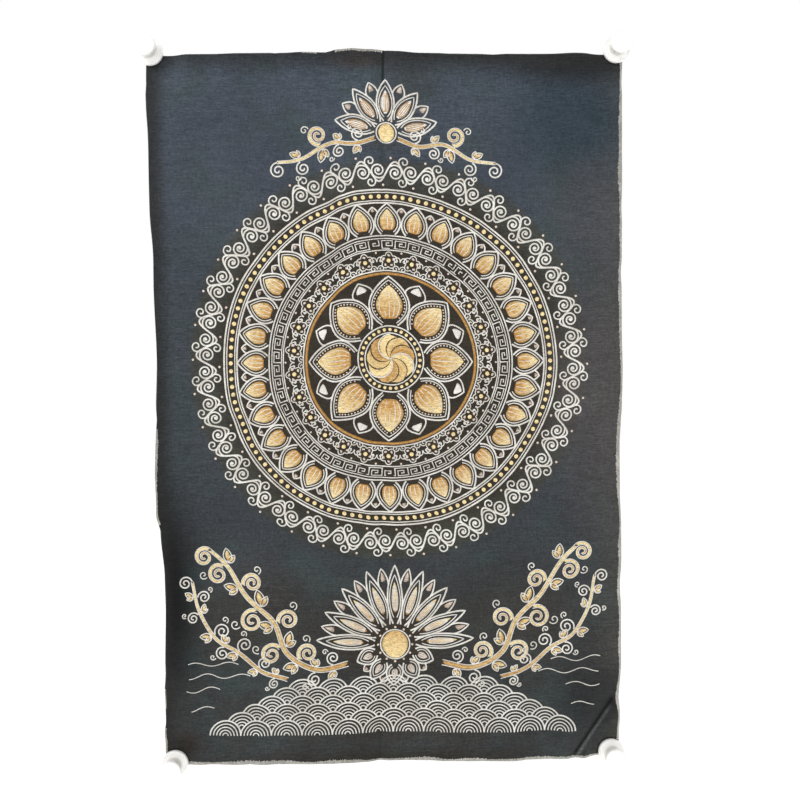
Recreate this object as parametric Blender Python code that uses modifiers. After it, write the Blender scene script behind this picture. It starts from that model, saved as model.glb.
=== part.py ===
"""Woven brocade panel held flat on a wall by four round knobs.

Metres, +Z up. The wall is the plane Y = 0, the panel's face looks along -Y, and the origin is
the middle of the panel's top edge on the wall. "right" is measured from the panel's upright
centre line and "down" from its straight top edge, both as the viewer sees them.
"""

from collections import namedtuple
from math import cos, exp, hypot, pi, sin

import bmesh
import bpy

# Panel: the cut size of the cloth and its thickness
PANEL_WIDTH = 0.600
PANEL_HEIGHT = 0.913
PANEL_THICKNESS = 0.0012

# Panel: how far its back stands off the wall away from the knobs
REST_GAP = 0.0035
LEAST_GAP = 0.0004
PAD_SIZE = 0.031
PAD_RAMP = 0.022
PAD_POWER = 4

# Grid lines: finer at the knobs and along the two pressed creases
CREASE_HALF_WIDTH = 0.009
PAD_CELLS = 3
FIELD_COLUMNS = 13
FIELD_ROWS = 21

# Knob: a turned bobbin, with its flange against the cloth
FLANGE_RADIUS = 0.017
FLANGE_HEIGHT = 0.0042
WAIST_RADIUS = 0.0088
WAIST_BOTTOM = 0.0075
WAIST_TOP = 0.0115
HEAD_RADIUS = 0.0134
HEAD_BOTTOM = 0.0150
HEAD_TOP = 0.0200
CROWN_RISE = 0.0010
EDGE_ROUND = 0.0014
ROUND_STEPS = 2
KNOB_STEPS = 28
TOUCH_GAP = 0.0003
MERGE_DISTANCE = 0.00001

Knob = namedtuple("Knob", "name right down")
KNOBS = (
    #    name, right, down
    Knob("knob_top_left", -0.2957, -0.0032),
    Knob("knob_top_right", 0.2912, -0.0042),
    Knob("knob_bottom_left", -0.2868, 0.9085),
    Knob("knob_bottom_right", 0.2870, 0.9045),
)

# A fold is a straight trough (lift below zero) or ridge, which dies out past its two ends
Fold = namedtuple("Fold", "name right_1 down_1 right_2 down_2 half_width lift run_out")
CENTRE_CREASE = Fold("pressed centre crease", -0.0025, 0.0, -0.0190, PANEL_HEIGHT, 0.010, -0.0028, 0.02)
MIDDLE_CREASE = Fold("pressed middle crease", -0.3000, 0.4570, 0.3000, 0.4620, 0.010, -0.0016, 0.02)
CORNER_TROUGH = Fold("pulled corner, trough", 0.2890, 0.8395, 0.2438, 0.9064, 0.008, -0.0040, 0.02)
CORNER_LIP = Fold("pulled corner, lip", 0.2975, 0.8452, 0.2523, 0.9121, 0.006, 0.0022, 0.02)
FOLDS = (
    CENTRE_CREASE,
    MIDDLE_CREASE,
    CORNER_TROUGH,
    CORNER_LIP,
    #    name                    right_1  down_1   right_2  down_2   half    lift     run_out
    Fold("slack of the corner",   0.2700,  0.8200,  0.2200,  0.8900, 0.0140,  0.0035, 0.030),
    Fold("upper right wrinkle",   0.1201,  0.2300,  0.0852,  0.2729, 0.0100, -0.0022, 0.015),
    Fold("left quarter crease",  -0.1707,  0.2600, -0.1730,  0.3700, 0.0140, -0.0014, 0.040),
    Fold("left middle wrinkle",  -0.2100,  0.4630, -0.1650,  0.4750, 0.0110, -0.0022, 0.020),
    Fold("right middle wrinkle",  0.1740,  0.4480,  0.2080,  0.4320, 0.0110,  0.0018, 0.015),
    Fold("lifted left edge",     -0.3050,  0.6000, -0.3000,  0.7700, 0.0180,  0.0050, 0.060),
)

# Broad swells of the cloth between the creases
Swell = namedtuple("Swell", "right down half_width half_height lift")
SWELLS = (
    #     right    down    half_width half_height lift
    Swell(-0.150,  0.190,  0.110,     0.150,      0.0030),
    Swell(0.160,   0.270,  0.100,     0.160,      0.0036),
    Swell(-0.170,  0.690,  0.100,     0.140,      0.0036),
    Swell(0.150,   0.660,  0.110,     0.150,      0.0028),
)

# How far each edge stands out from its straight line, at places along it
Edge = namedtuple("Edge", "along out")
LEFT_EDGE = (
    Edge(0.000, 0.0004),
    Edge(0.030, 0.0014),
    Edge(0.060, 0.0008),
    Edge(0.100, -0.0005),
    Edge(0.190, -0.0001),
    Edge(0.250, -0.0030),
    Edge(0.290, -0.0025),
    Edge(0.380, -0.0040),
    Edge(0.450, -0.0013),
    Edge(0.535, 0.0024),
    Edge(0.578, 0.0008),
    Edge(0.602, -0.0050),
    Edge(0.660, -0.0089),
    Edge(0.690, -0.0092),
    Edge(0.780, -0.0067),
    Edge(0.815, -0.0034),
    Edge(0.850, -0.0034),
    Edge(0.872, -0.0006),
    Edge(PANEL_HEIGHT, -0.0006),
)
RIGHT_EDGE = (
    Edge(0.000, -0.0006),
    Edge(0.060, -0.0024),
    Edge(0.100, -0.0023),
    Edge(0.168, -0.0021),
    Edge(0.190, -0.0027),
    Edge(0.212, -0.0019),
    Edge(0.255, -0.0020),
    Edge(0.275, -0.0033),
    Edge(0.300, -0.0021),
    Edge(0.345, -0.0017),
    Edge(0.405, -0.0003),
    Edge(0.450, -0.0011),
    Edge(0.495, -0.0040),
    Edge(0.560, -0.0034),
    Edge(0.607, -0.0015),
    Edge(0.650, -0.0013),
    Edge(0.680, -0.0031),
    Edge(0.720, -0.0014),
    Edge(0.785, -0.0011),
    Edge(0.834, -0.0042),
    Edge(0.860, -0.0023),
    Edge(0.880, -0.0025),
    Edge(PANEL_HEIGHT, -0.0020),
)
TOP_EDGE = (
    Edge(-0.300, -0.0013),
    Edge(-0.253, -0.0012),
    Edge(-0.218, -0.0012),
    Edge(-0.183, -0.0002),
    Edge(-0.130, -0.0002),
    Edge(-0.100, 0.0012),
    Edge(-0.077, 0.0004),
    Edge(-0.058, 0.0044),
    Edge(-0.042, 0.0057),
    Edge(-0.024, 0.0045),
    Edge(-0.007, 0.0046),
    Edge(0.011, 0.0023),
    Edge(0.046, -0.0003),
    Edge(0.064, -0.0006),
    Edge(0.082, -0.0015),
    Edge(0.117, -0.0021),
    Edge(0.135, -0.0030),
    Edge(0.153, -0.0021),
    Edge(0.206, -0.0022),
    Edge(0.240, -0.0010),
    Edge(0.260, -0.0014),
    Edge(0.300, -0.0022),
)
BOTTOM_EDGE = (
    Edge(-0.300, 0.0002),
    Edge(-0.265, -0.0010),
    Edge(-0.240, -0.0032),
    Edge(-0.205, -0.0017),
    Edge(-0.190, -0.0022),
    Edge(-0.172, -0.0008),
    Edge(-0.155, -0.0014),
    Edge(-0.100, -0.0004),
    Edge(-0.063, -0.0008),
    Edge(-0.035, -0.0020),
    Edge(0.010, -0.0038),
    Edge(0.048, -0.0029),
    Edge(0.068, -0.0010),
    Edge(0.103, -0.0004),
    Edge(0.158, 0.0008),
    Edge(0.180, -0.0012),
    Edge(0.205, -0.0016),
    Edge(0.234, -0.0010),
    Edge(0.253, -0.0020),
    Edge(0.271, -0.0032),
    Edge(0.300, -0.0028),
)

# Finishes: linear colour, roughness
Finish = namedtuple("Finish", "name colour roughness")
BROCADE = Finish("brocade_cloth", (0.062, 0.078, 0.092, 1.0), 0.85)
PLASTIC = Finish("white_plastic", (0.82, 0.81, 0.79, 1.0), 0.35)


def smooth_step(value):
    """Ease a value from 0 to 1, flat at both ends."""
    held = min(max(value, 0.0), 1.0)
    return held * held * (3.0 - 2.0 * held)


def edge_out(table, along):
    """Read an edge table, with soft waves between its rows."""
    for before, after in zip(table, table[1:]):
        if along <= after.along:
            share = smooth_step((along - before.along) / (after.along - before.along))
            return before.out + share * (after.out - before.out)
    return table[-1].out


def fold_lift(fold, right, down):
    """Lift of one fold at a place on the cloth."""
    run_right = fold.right_2 - fold.right_1
    run_down = fold.down_2 - fold.down_1
    length = hypot(run_right, run_down)
    from_right = right - fold.right_1
    from_down = down - fold.down_1
    along = (from_right * run_right + from_down * run_down) / length
    aside = (from_right * run_down - from_down * run_right) / length
    beyond = max(-along, along - length, 0.0)
    fade = 1.0 - smooth_step(beyond / fold.run_out)
    return fold.lift * fade * exp(-((aside / fold.half_width) ** 2))


def swell_lift(swell, right, down):
    """Lift of one broad swell at a place on the cloth."""
    across = (right - swell.right) / swell.half_width
    upright = (down - swell.down) / swell.half_height
    return swell.lift * exp(-(across * across + upright * upright))


def freedom(right, down):
    """0 on the flat pads under the knobs, rising to 1 away from all four corners."""
    from_side = PANEL_WIDTH / 2 - abs(right)
    from_end = min(down, PANEL_HEIGHT - down)
    from_corner = (from_side**PAD_POWER + from_end**PAD_POWER) ** (1 / PAD_POWER)
    return smooth_step((from_corner - PAD_SIZE) / PAD_RAMP)


def gap_to_wall(right, down):
    """Distance from the wall to the cloth's back."""
    free = freedom(right, down)
    lifted = REST_GAP + sum(swell_lift(swell, right, down) for swell in SWELLS)
    lifted += sum(fold_lift(fold, right, down) for fold in FOLDS)
    return free * max(lifted, LEAST_GAP)


def cloth_place(right, down):
    """World place of a point on the cloth's back, from its place on the flat cloth."""
    share_right = 0.5 + right / PANEL_WIDTH
    share_down = down / PANEL_HEIGHT
    left_out = edge_out(LEFT_EDGE, down)
    right_out = edge_out(RIGHT_EDGE, down)
    top_out = edge_out(TOP_EDGE, right)
    bottom_out = edge_out(BOTTOM_EDGE, right)
    x = right + share_right * right_out - (1.0 - share_right) * left_out
    z = (1.0 - share_down) * top_out - down - share_down * bottom_out
    return x, -gap_to_wall(right, down), z


def even_steps(start, end, cells):
    """Positions of a run of even cells, without its first line."""
    return [start + (end - start) * (step + 1) / cells for step in range(cells)]


def grid_lines(start, end, crease, field_cells):
    """Lines across the cloth: fine at both ends, even in between, and three at the crease."""
    lines = [start]
    lines += even_steps(start, start + PAD_SIZE, PAD_CELLS)
    lines += even_steps(start + PAD_SIZE, crease - CREASE_HALF_WIDTH, field_cells)
    lines += even_steps(crease - CREASE_HALF_WIDTH, crease + CREASE_HALF_WIDTH, 2)
    lines += even_steps(crease + CREASE_HALF_WIDTH, end - PAD_SIZE, field_cells)
    lines += even_steps(end - PAD_SIZE, end, PAD_CELLS)
    return lines


def slide_to_crease(position, start, end, drift):
    """Slide a grid line's point sideways so that the middle line follows a leaning crease."""
    half = (end - start) / 2
    nearness = 1.0 - abs(position - (start + half)) / half
    return position + drift * smooth_step(nearness)


def score_fold(mesh, fold):
    """Cut three lines into the flat grid along a slanting fold: its bed and its two flanks."""
    run_right = fold.right_2 - fold.right_1
    run_up = fold.down_1 - fold.down_2
    length = hypot(run_right, run_up)
    normal = (run_up / length, 0.0, -run_right / length)
    middle = ((fold.right_1 + fold.right_2) / 2, -(fold.down_1 + fold.down_2) / 2)
    reach = length / 2 + fold.run_out
    for side in (-1.0, 0.0, 1.0):
        point = (
            middle[0] + side * fold.half_width * normal[0],
            0.0,
            middle[1] + side * fold.half_width * normal[2],
        )
        near = [
            face
            for face in mesh.faces
            if hypot(face.calc_center_median().x - middle[0], face.calc_center_median().z - middle[1]) < reach
        ]
        touched = near + list({edge for face in near for edge in face.edges})
        touched += list({vert for face in near for vert in face.verts})
        bmesh.ops.bisect_plane(mesh, geom=touched, dist=0.0002, plane_co=point, plane_no=normal)


def make_material(finish):
    """One Principled material."""
    material = bpy.data.materials.new(finish.name)
    material.use_nodes = True
    shader = material.node_tree.nodes["Principled BSDF"]
    shader.inputs["Base Color"].default_value = finish.colour
    shader.inputs["Roughness"].default_value = finish.roughness
    shader.inputs["Metallic"].default_value = 0.0
    material.diffuse_color = finish.colour
    return material


def add_object(name, mesh, material, collection):
    """Put a mesh in the scene as one named object."""
    mesh.materials.append(material)
    thing = bpy.data.objects.new(name, mesh)
    collection.objects.link(thing)
    return thing


def make_panel(material, collection):
    """The cloth: a grid moved onto its folds, then given its thickness towards the viewer."""
    columns = grid_lines(-PANEL_WIDTH / 2, PANEL_WIDTH / 2, 0.0, FIELD_COLUMNS)
    rows = grid_lines(0.0, PANEL_HEIGHT, PANEL_HEIGHT / 2, FIELD_ROWS)
    last_column = len(columns) - 1
    last_row = len(rows) - 1
    grid = bmesh.new()
    bmesh.ops.create_grid(grid, x_segments=last_column, y_segments=last_row, size=0.5)
    for vert in grid.verts:
        column = columns[round((vert.co.x + 0.5) * last_column)]
        row = rows[round((0.5 - vert.co.y) * last_row)]
        down_share = row / PANEL_HEIGHT
        lean = CENTRE_CREASE.right_1 + down_share * (CENTRE_CREASE.right_2 - CENTRE_CREASE.right_1)
        right_share = 0.5 + column / PANEL_WIDTH
        tilt = MIDDLE_CREASE.down_1 + right_share * (MIDDLE_CREASE.down_2 - MIDDLE_CREASE.down_1)
        right = slide_to_crease(column, -PANEL_WIDTH / 2, PANEL_WIDTH / 2, lean)
        down = slide_to_crease(row, 0.0, PANEL_HEIGHT, tilt - PANEL_HEIGHT / 2)
        vert.co = (right, 0.0, -down)
    score_fold(grid, CORNER_TROUGH)
    for vert in grid.verts:
        vert.co = cloth_place(vert.co.x, -vert.co.z)
    bmesh.ops.triangulate(grid, faces=grid.faces[:], quad_method="SHORT_EDGE")
    mesh = bpy.data.meshes.new("cloth_panel")
    grid.to_mesh(mesh)
    grid.free()
    panel = add_object("cloth_panel", mesh, material, collection)
    solidify = panel.modifiers.new("thickness", "SOLIDIFY")
    solidify.thickness = PANEL_THICKNESS
    solidify.offset = 1.0
    return panel


def rounded_corner(radius, height, start, end):
    """Points of a quarter round on a turned edge, from one angle to another."""
    return [
        (
            radius + EDGE_ROUND * cos(start + (end - start) * step / ROUND_STEPS),
            height + EDGE_ROUND * sin(start + (end - start) * step / ROUND_STEPS),
        )
        for step in range(ROUND_STEPS + 1)
    ]


def knob_profile():
    """The knob's outer side as (radius, height), from its crown down to its flange's face."""
    head_in = HEAD_RADIUS - EDGE_ROUND
    flange_in = FLANGE_RADIUS - EDGE_ROUND
    points = [(0.0, HEAD_TOP + CROWN_RISE), (head_in / 2, HEAD_TOP + CROWN_RISE * 0.75)]
    points += rounded_corner(head_in, HEAD_TOP - EDGE_ROUND, pi / 2, 0.0)
    points += rounded_corner(head_in, HEAD_BOTTOM + EDGE_ROUND, 0.0, -pi / 2)
    points += [(WAIST_RADIUS, WAIST_TOP), (WAIST_RADIUS, WAIST_BOTTOM)]
    points += rounded_corner(flange_in, FLANGE_HEIGHT - EDGE_ROUND, pi / 2, 0.0)
    points += [(FLANGE_RADIUS, 0.0), (0.0, 0.0)]
    return points


def make_knob(knob, material, collection):
    """One turned knob, its axis square to the wall and its flange just off the cloth."""
    profile = bmesh.new()
    verts = [profile.verts.new((radius, 0.0, height)) for radius, height in knob_profile()]
    for upper, lower in zip(verts, verts[1:]):
        profile.edges.new((upper, lower))
    mesh = bpy.data.meshes.new(knob.name)
    profile.to_mesh(mesh)
    profile.free()
    body = add_object(knob.name, mesh, material, collection)
    body.location = (knob.right, -(PANEL_THICKNESS + TOUCH_GAP), -knob.down)
    body.rotation_euler = (pi / 2, 0.0, 0.0)
    screw = body.modifiers.new("turned", "SCREW")
    screw.axis = "Z"
    screw.steps = KNOB_STEPS
    screw.render_steps = KNOB_STEPS
    screw.use_merge_vertices = True
    screw.merge_threshold = MERGE_DISTANCE
    screw.use_smooth_shade = True
    return body


def clear_scene():
    """Remove what the scene starts with."""
    for thing in list(bpy.data.objects):
        bpy.data.objects.remove(thing, do_unlink=True)


def main():
    """Build the panel and its four knobs."""
    clear_scene()
    collection = bpy.data.collections.new("pinned_brocade_panel")
    bpy.context.scene.collection.children.link(collection)
    make_panel(make_material(BROCADE), collection)
    plastic = make_material(PLASTIC)
    for knob in KNOBS:
        make_knob(knob, plastic, collection)


main()
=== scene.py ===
"""A woven brocade wall hanging: one slate panel held flat against a wall by four white knobs.

Everything is in metres with +Z up. The wall is the plane Y = 0, the cloth's face looks along -Y
and the origin is the middle of its top edge. "Right" and "down" are places on the cloth before
it was hung, as the viewer sees them. Flat drawings of the woven ornament are in millimetres, and
a place in a drawing is a complex number: right of the centre line, and up from the top edge.
"""
import cmath
import logging
import math
from dataclasses import dataclass, field
from enum import Enum
from typing import Any, NamedTuple

import bmesh
import bpy
from mathutils import Matrix, Vector, noise


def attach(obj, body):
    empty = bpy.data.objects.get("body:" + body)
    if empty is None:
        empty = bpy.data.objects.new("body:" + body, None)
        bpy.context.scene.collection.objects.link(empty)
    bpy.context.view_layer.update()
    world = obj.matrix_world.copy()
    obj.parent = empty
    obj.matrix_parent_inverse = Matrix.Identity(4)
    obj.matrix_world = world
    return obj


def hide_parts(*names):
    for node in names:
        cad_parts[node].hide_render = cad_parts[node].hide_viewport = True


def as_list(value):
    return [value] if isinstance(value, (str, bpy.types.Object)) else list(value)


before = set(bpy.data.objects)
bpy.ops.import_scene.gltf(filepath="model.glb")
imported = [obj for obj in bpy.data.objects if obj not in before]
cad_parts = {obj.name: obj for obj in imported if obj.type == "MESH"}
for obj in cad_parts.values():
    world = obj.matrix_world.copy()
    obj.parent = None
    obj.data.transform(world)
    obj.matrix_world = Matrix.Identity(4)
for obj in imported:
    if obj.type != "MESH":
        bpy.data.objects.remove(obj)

logging.basicConfig(level=logging.INFO, format="%(message)s")
log = logging.getLogger("hanging")

BODY = "root"
MM = 0.001

Colour = tuple[float, float, float]
Place = complex
RadiusHeight = tuple[float, float]
Socket = bpy.types.NodeSocket


class Fold(NamedTuple):
    """A straight trough, or a ridge where its lift is above zero, that dies out past its ends."""

    right_1: float
    down_1: float
    right_2: float
    down_2: float
    half_width: float
    lift: float
    run_out: float


class Swell(NamedTuple):
    """A broad rise of the cloth between its creases."""

    right: float
    down: float
    half_width: float
    half_height: float
    lift: float


class Edge(NamedTuple):
    """How far an edge stands out from its straight line at one place along it."""

    along: float
    out: float


def edge_rows(*rows: tuple[float, float]) -> tuple[Edge, ...]:
    """Name the two numbers of each row of an edge table."""
    return tuple(Edge(*row) for row in rows)


class Lean(NamedTuple):
    """Where a pressed crease crosses the two opposite edges of the panel."""

    start: float
    end: float


CENTRE_LEAN = Lean(-0.0025, -0.0190)
MIDDLE_LEAN = Lean(0.4570, 0.4620)

# Folds that the solid cloth has
MAIN_FOLDS = (
    #    right_1  down_1  right_2  down_2   half    lift     run_out
    Fold(-0.0025, 0.0000, -0.0190, 0.9130, 0.0100, -0.0028, 0.020),
    Fold(-0.3000, 0.4570, 0.3000, 0.4620, 0.0100, -0.0016, 0.020),
    Fold(0.2890, 0.8395, 0.2438, 0.9064, 0.0080, -0.0040, 0.020),
    Fold(0.2975, 0.8452, 0.2523, 0.9121, 0.0060, 0.0022, 0.020),
    Fold(0.2700, 0.8200, 0.2200, 0.8900, 0.0140, 0.0035, 0.030),
    Fold(0.1201, 0.2300, 0.0852, 0.2729, 0.0100, -0.0022, 0.015),
    Fold(-0.1707, 0.2600, -0.1730, 0.3700, 0.0140, -0.0014, 0.040),
    Fold(-0.2100, 0.4630, -0.1650, 0.4750, 0.0110, -0.0022, 0.020),
    Fold(0.1740, 0.4480, 0.2080, 0.4320, 0.0110, 0.0018, 0.015),
    Fold(-0.3050, 0.6000, -0.3000, 0.7700, 0.0180, 0.0050, 0.060),
)

# Sharper lines in those folds, and small creases of the fabric's face alone
FINE_FOLDS = (
    #    right_1  down_1  right_2  down_2   half    lift     run_out
    Fold(-0.0025, 0.0000, -0.0190, 0.9130, 0.0024, -0.0008, 0.010),
    Fold(0.0060, 0.0000, 0.0020, 0.1600, 0.0050, 0.0007, 0.080),
    Fold(-0.3000, 0.4570, 0.3000, 0.4620, 0.0028, -0.0003, 0.010),
    Fold(0.2887, 0.8354, 0.2424, 0.9045, 0.0042, -0.0012, 0.010),
    Fold(0.1180, 0.2330, 0.0870, 0.2700, 0.0034, -0.0010, 0.012),
    Fold(0.1290, 0.2350, 0.0930, 0.2800, 0.0050, 0.0009, 0.020),
    Fold(-0.1380, 0.0000, -0.1370, 0.0300, 0.0040, -0.0008, 0.015),
    Fold(-0.1707, 0.2870, -0.1720, 0.3440, 0.0040, -0.0007, 0.020),
    Fold(-0.2060, 0.4630, -0.1660, 0.4750, 0.0036, -0.0010, 0.014),
    Fold(0.1750, 0.4470, 0.2070, 0.4320, 0.0040, 0.0009, 0.012),
    Fold(-0.2840, 0.5200, -0.2880, 0.7400, 0.0060, -0.0008, 0.050),
    Fold(-0.2600, 0.8850, -0.2300, 0.8300, 0.0070, -0.0008, 0.040),
    Fold(0.2700, 0.0500, 0.2350, 0.1150, 0.0070, -0.0007, 0.040),
)

SWELLS = (
    #     right  down  half_width half_height lift
    Swell(-0.150, 0.190, 0.110, 0.150, 0.0030),
    Swell(0.160, 0.270, 0.100, 0.160, 0.0036),
    Swell(-0.170, 0.690, 0.100, 0.140, 0.0036),
    Swell(0.150, 0.660, 0.110, 0.150, 0.0028),
)

LEFT_EDGE = edge_rows(
    (0.000, 0.0004), (0.030, 0.0014), (0.060, 0.0008), (0.100, -0.0005),
    (0.190, -0.0001), (0.250, -0.0030), (0.290, -0.0025), (0.380, -0.0040),
    (0.450, -0.0013), (0.535, 0.0024), (0.578, 0.0008), (0.602, -0.0050),
    (0.660, -0.0089), (0.690, -0.0092), (0.780, -0.0067), (0.815, -0.0034),
    (0.850, -0.0034), (0.872, -0.0006), (0.913, -0.0006),
)
RIGHT_EDGE = edge_rows(
    (0.000, -0.0006), (0.060, -0.0024), (0.100, -0.0023), (0.168, -0.0021),
    (0.190, -0.0027), (0.212, -0.0019), (0.255, -0.0020), (0.275, -0.0033),
    (0.300, -0.0021), (0.345, -0.0017), (0.405, -0.0003), (0.450, -0.0011),
    (0.495, -0.0040), (0.560, -0.0034), (0.607, -0.0015), (0.650, -0.0013),
    (0.680, -0.0031), (0.720, -0.0014), (0.785, -0.0011), (0.834, -0.0042),
    (0.860, -0.0023), (0.880, -0.0025), (0.913, -0.0020),
)
TOP_EDGE = edge_rows(
    (-0.300, -0.0013), (-0.253, -0.0012), (-0.218, -0.0012), (-0.183, -0.0002),
    (-0.130, -0.0002), (-0.100, 0.0012), (-0.077, 0.0004), (-0.058, 0.0044),
    (-0.042, 0.0057), (-0.024, 0.0045), (-0.007, 0.0046), (0.011, 0.0023),
    (0.046, -0.0003), (0.064, -0.0006), (0.082, -0.0015), (0.117, -0.0021),
    (0.135, -0.0030), (0.153, -0.0021), (0.206, -0.0022), (0.240, -0.0010),
    (0.260, -0.0014), (0.300, -0.0022),
)
BOTTOM_EDGE = edge_rows(
    (-0.300, 0.0002), (-0.265, -0.0010), (-0.240, -0.0032), (-0.205, -0.0017),
    (-0.190, -0.0022), (-0.172, -0.0008), (-0.155, -0.0014), (-0.100, -0.0004),
    (-0.063, -0.0008), (-0.035, -0.0020), (0.010, -0.0038), (0.048, -0.0029),
    (0.068, -0.0010), (0.103, -0.0004), (0.158, 0.0008), (0.180, -0.0012),
    (0.205, -0.0016), (0.234, -0.0010), (0.253, -0.0020), (0.271, -0.0032),
    (0.300, -0.0028),
)


class Shade(NamedTuple):
    """A line of shadow, or of light where its tone is above zero, that a sharp crease throws."""

    right_1: float
    down_1: float
    right_2: float
    down_2: float
    half_width: float
    run_out: float
    tone: float


CREASE_SHADES = (
    #     right_1  down_1   right_2  down_2   half    run_out tone
    Shade(-0.0036, -0.0060, -0.0046, 0.0340, 0.0021, 0.012, -0.70),
    Shade(-0.0006, -0.0040, -0.0016, 0.0300, 0.0013, 0.014, 0.16),
    Shade(-0.0046, 0.0360, -0.0190, 0.9130, 0.0026, 0.020, -0.22),
    Shade(0.2868, 0.8356, 0.2412, 0.9037, 0.0029, 0.009, -0.86),
    Shade(0.2806, 0.8500, 0.2446, 0.9044, 0.0026, 0.012, 1.80),
    Shade(0.1195, 0.2309, 0.0847, 0.2736, 0.0034, 0.012, -0.22),
    Shade(-0.2053, 0.4630, -0.1647, 0.4751, 0.0030, 0.012, -0.24),
    Shade(0.1738, 0.4470, 0.2061, 0.4319, 0.0030, 0.012, 0.16),
    Shade(-0.1698, 0.2877, -0.1709, 0.3447, 0.0030, 0.020, -0.12),
    Shade(-0.1377, 0.0010, -0.1381, 0.0245, 0.0022, 0.012, -0.18),
)


class Zone(NamedTuple):
    """A soft oval of another ground colour; the rows marked below are painted shade."""

    right: float
    up: float
    half_width: float
    half_height: float
    colour: tuple[int, int, int]
    share: float


GROUND_TONES_AND_SHADES = (
    #    right   up      half_w  half_h  colour         share
    Zone(0.235, -0.085, 0.120, 0.095, (43, 56, 65), 0.82),
    # painted shade along the curled top edge at the right
    Zone(0.240, -0.010, 0.170, 0.045, (27, 28, 29), 0.80),
    # painted shade right of the pressed crease at the top
    Zone(0.030, -0.030, 0.050, 0.045, (52, 54, 52), 0.50),
    Zone(0.265, -0.430, 0.090, 0.230, (80, 75, 74), 0.60),
    Zone(0.255, -0.200, 0.070, 0.100, (74, 74, 75), 0.50),
    Zone(-0.035, -0.008, 0.048, 0.013, (76, 61, 60), 0.72),
    Zone(0.000, -0.085, 0.070, 0.050, (62, 58, 52), 0.55),
    # painted shade round the crease in the bottom right corner
    Zone(0.268, -0.840, 0.080, 0.080, (36, 37, 38), 0.78),
    Zone(0.296, -0.880, 0.020, 0.040, (60, 60, 52), 0.60),
    # painted shadow on the cloth beside the bottom left knob
    Zone(-0.272, -0.884, 0.026, 0.028, (40, 32, 26), 0.70),
    Zone(0.170, -0.720, 0.120, 0.095, (54, 50, 44), 0.55),
    Zone(-0.170, -0.720, 0.120, 0.095, (54, 50, 44), 0.55),
    Zone(0.000, -0.740, 0.130, 0.090, (56, 47, 36), 0.80),
    Zone(0.000, -0.850, 0.260, 0.050, (54, 48, 42), 0.70),
    Zone(0.000, -0.913, 0.310, 0.030, (42, 36, 29), 0.75),
    # painted shade at the curled lower left edge
    Zone(-0.304, -0.685, 0.080, 0.205, (4, 4, 4), 0.98),
)


class Blend(NamedTuple):
    """How a value becomes a share: the range that counts, and the share at either end of it."""

    low: float
    high: float
    at_low: float
    at_high: float


class Grain(NamedTuple):
    """Noise in a finish: patches in a metre for each axis, how fine they are, and their blend."""

    across: float
    deep: float
    upright: float
    detail: float
    blend: Blend = Blend(0.30, 0.70, 0.0, 1.0)


class KnobPlace(NamedTuple):
    """The CAD node of one knob, and its centre on the wall."""

    node: str
    right: float
    down: float


KNOB_PLACES = (
    KnobPlace("knob_top_left", -0.2957, -0.0032),
    KnobPlace("knob_top_right", 0.2912, -0.0042),
    KnobPlace("knob_bottom_left", -0.2868, 0.9085),
    KnobPlace("knob_bottom_right", 0.2870, 0.9045),
)


class Thread(Enum):
    """The threads in which the ornament is woven."""

    SILVER = "silver"
    GOLD = "gold"
    ROSE = "rose"


class Slot(Enum):
    """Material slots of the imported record."""

    CLOTH = "brocade_cloth"
    PLASTIC = "white_plastic"


def smooth_step(value: float) -> float:
    """Ease a value from 0 to 1, flat at both ends."""
    held = min(max(value, 0.0), 1.0)
    return held * held * (3.0 - 2.0 * held)


def linked(name: str, data: bpy.types.ID) -> bpy.types.Object:
    """Make an object of some data and link it to the scene.

    Args:
        name: the object's name.
        data: its mesh, curve, lamp or camera.

    Returns:
        The object.
    """
    thing = bpy.data.objects.new(name, data)
    bpy.context.scene.collection.objects.link(thing)
    return thing


def poly_curve(name: str, runs: list[tuple[Any, bool, float]]) -> bpy.types.Object:
    """Make a curve object of lines with straight stretches.

    Args:
        name: the object's name.
        runs: for each line its points, whether it is closed, and its radius.

    Returns:
        The object, linked to the scene.
    """
    curve = bpy.data.curves.new(name, "CURVE")
    curve.dimensions = "3D"
    for points, closed, radius in runs:
        spline = curve.splines.new("POLY")
        spline.points.add(len(points) - 1)
        spline.use_cyclic_u = closed
        for target, point in zip(spline.points, points):
            target.co = (*point, 1.0)
            target.radius = radius
    return linked(name, curve)


def srgb(red: int, green: int, blue: int) -> Colour:
    """Turn a colour as a screen shows it, 0 to 255, into linear light.

    Args:
        red: red part.
        green: green part.
        blue: blue part.

    Returns:
        The linear colour.
    """

    def linear(part: int) -> float:
        """Undo the screen's curve for one part."""
        share = part / 255.0
        return share / 12.92 if share <= 0.04045 else ((share + 0.055) / 1.055) ** 2.4

    return linear(red), linear(green), linear(blue)


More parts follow.
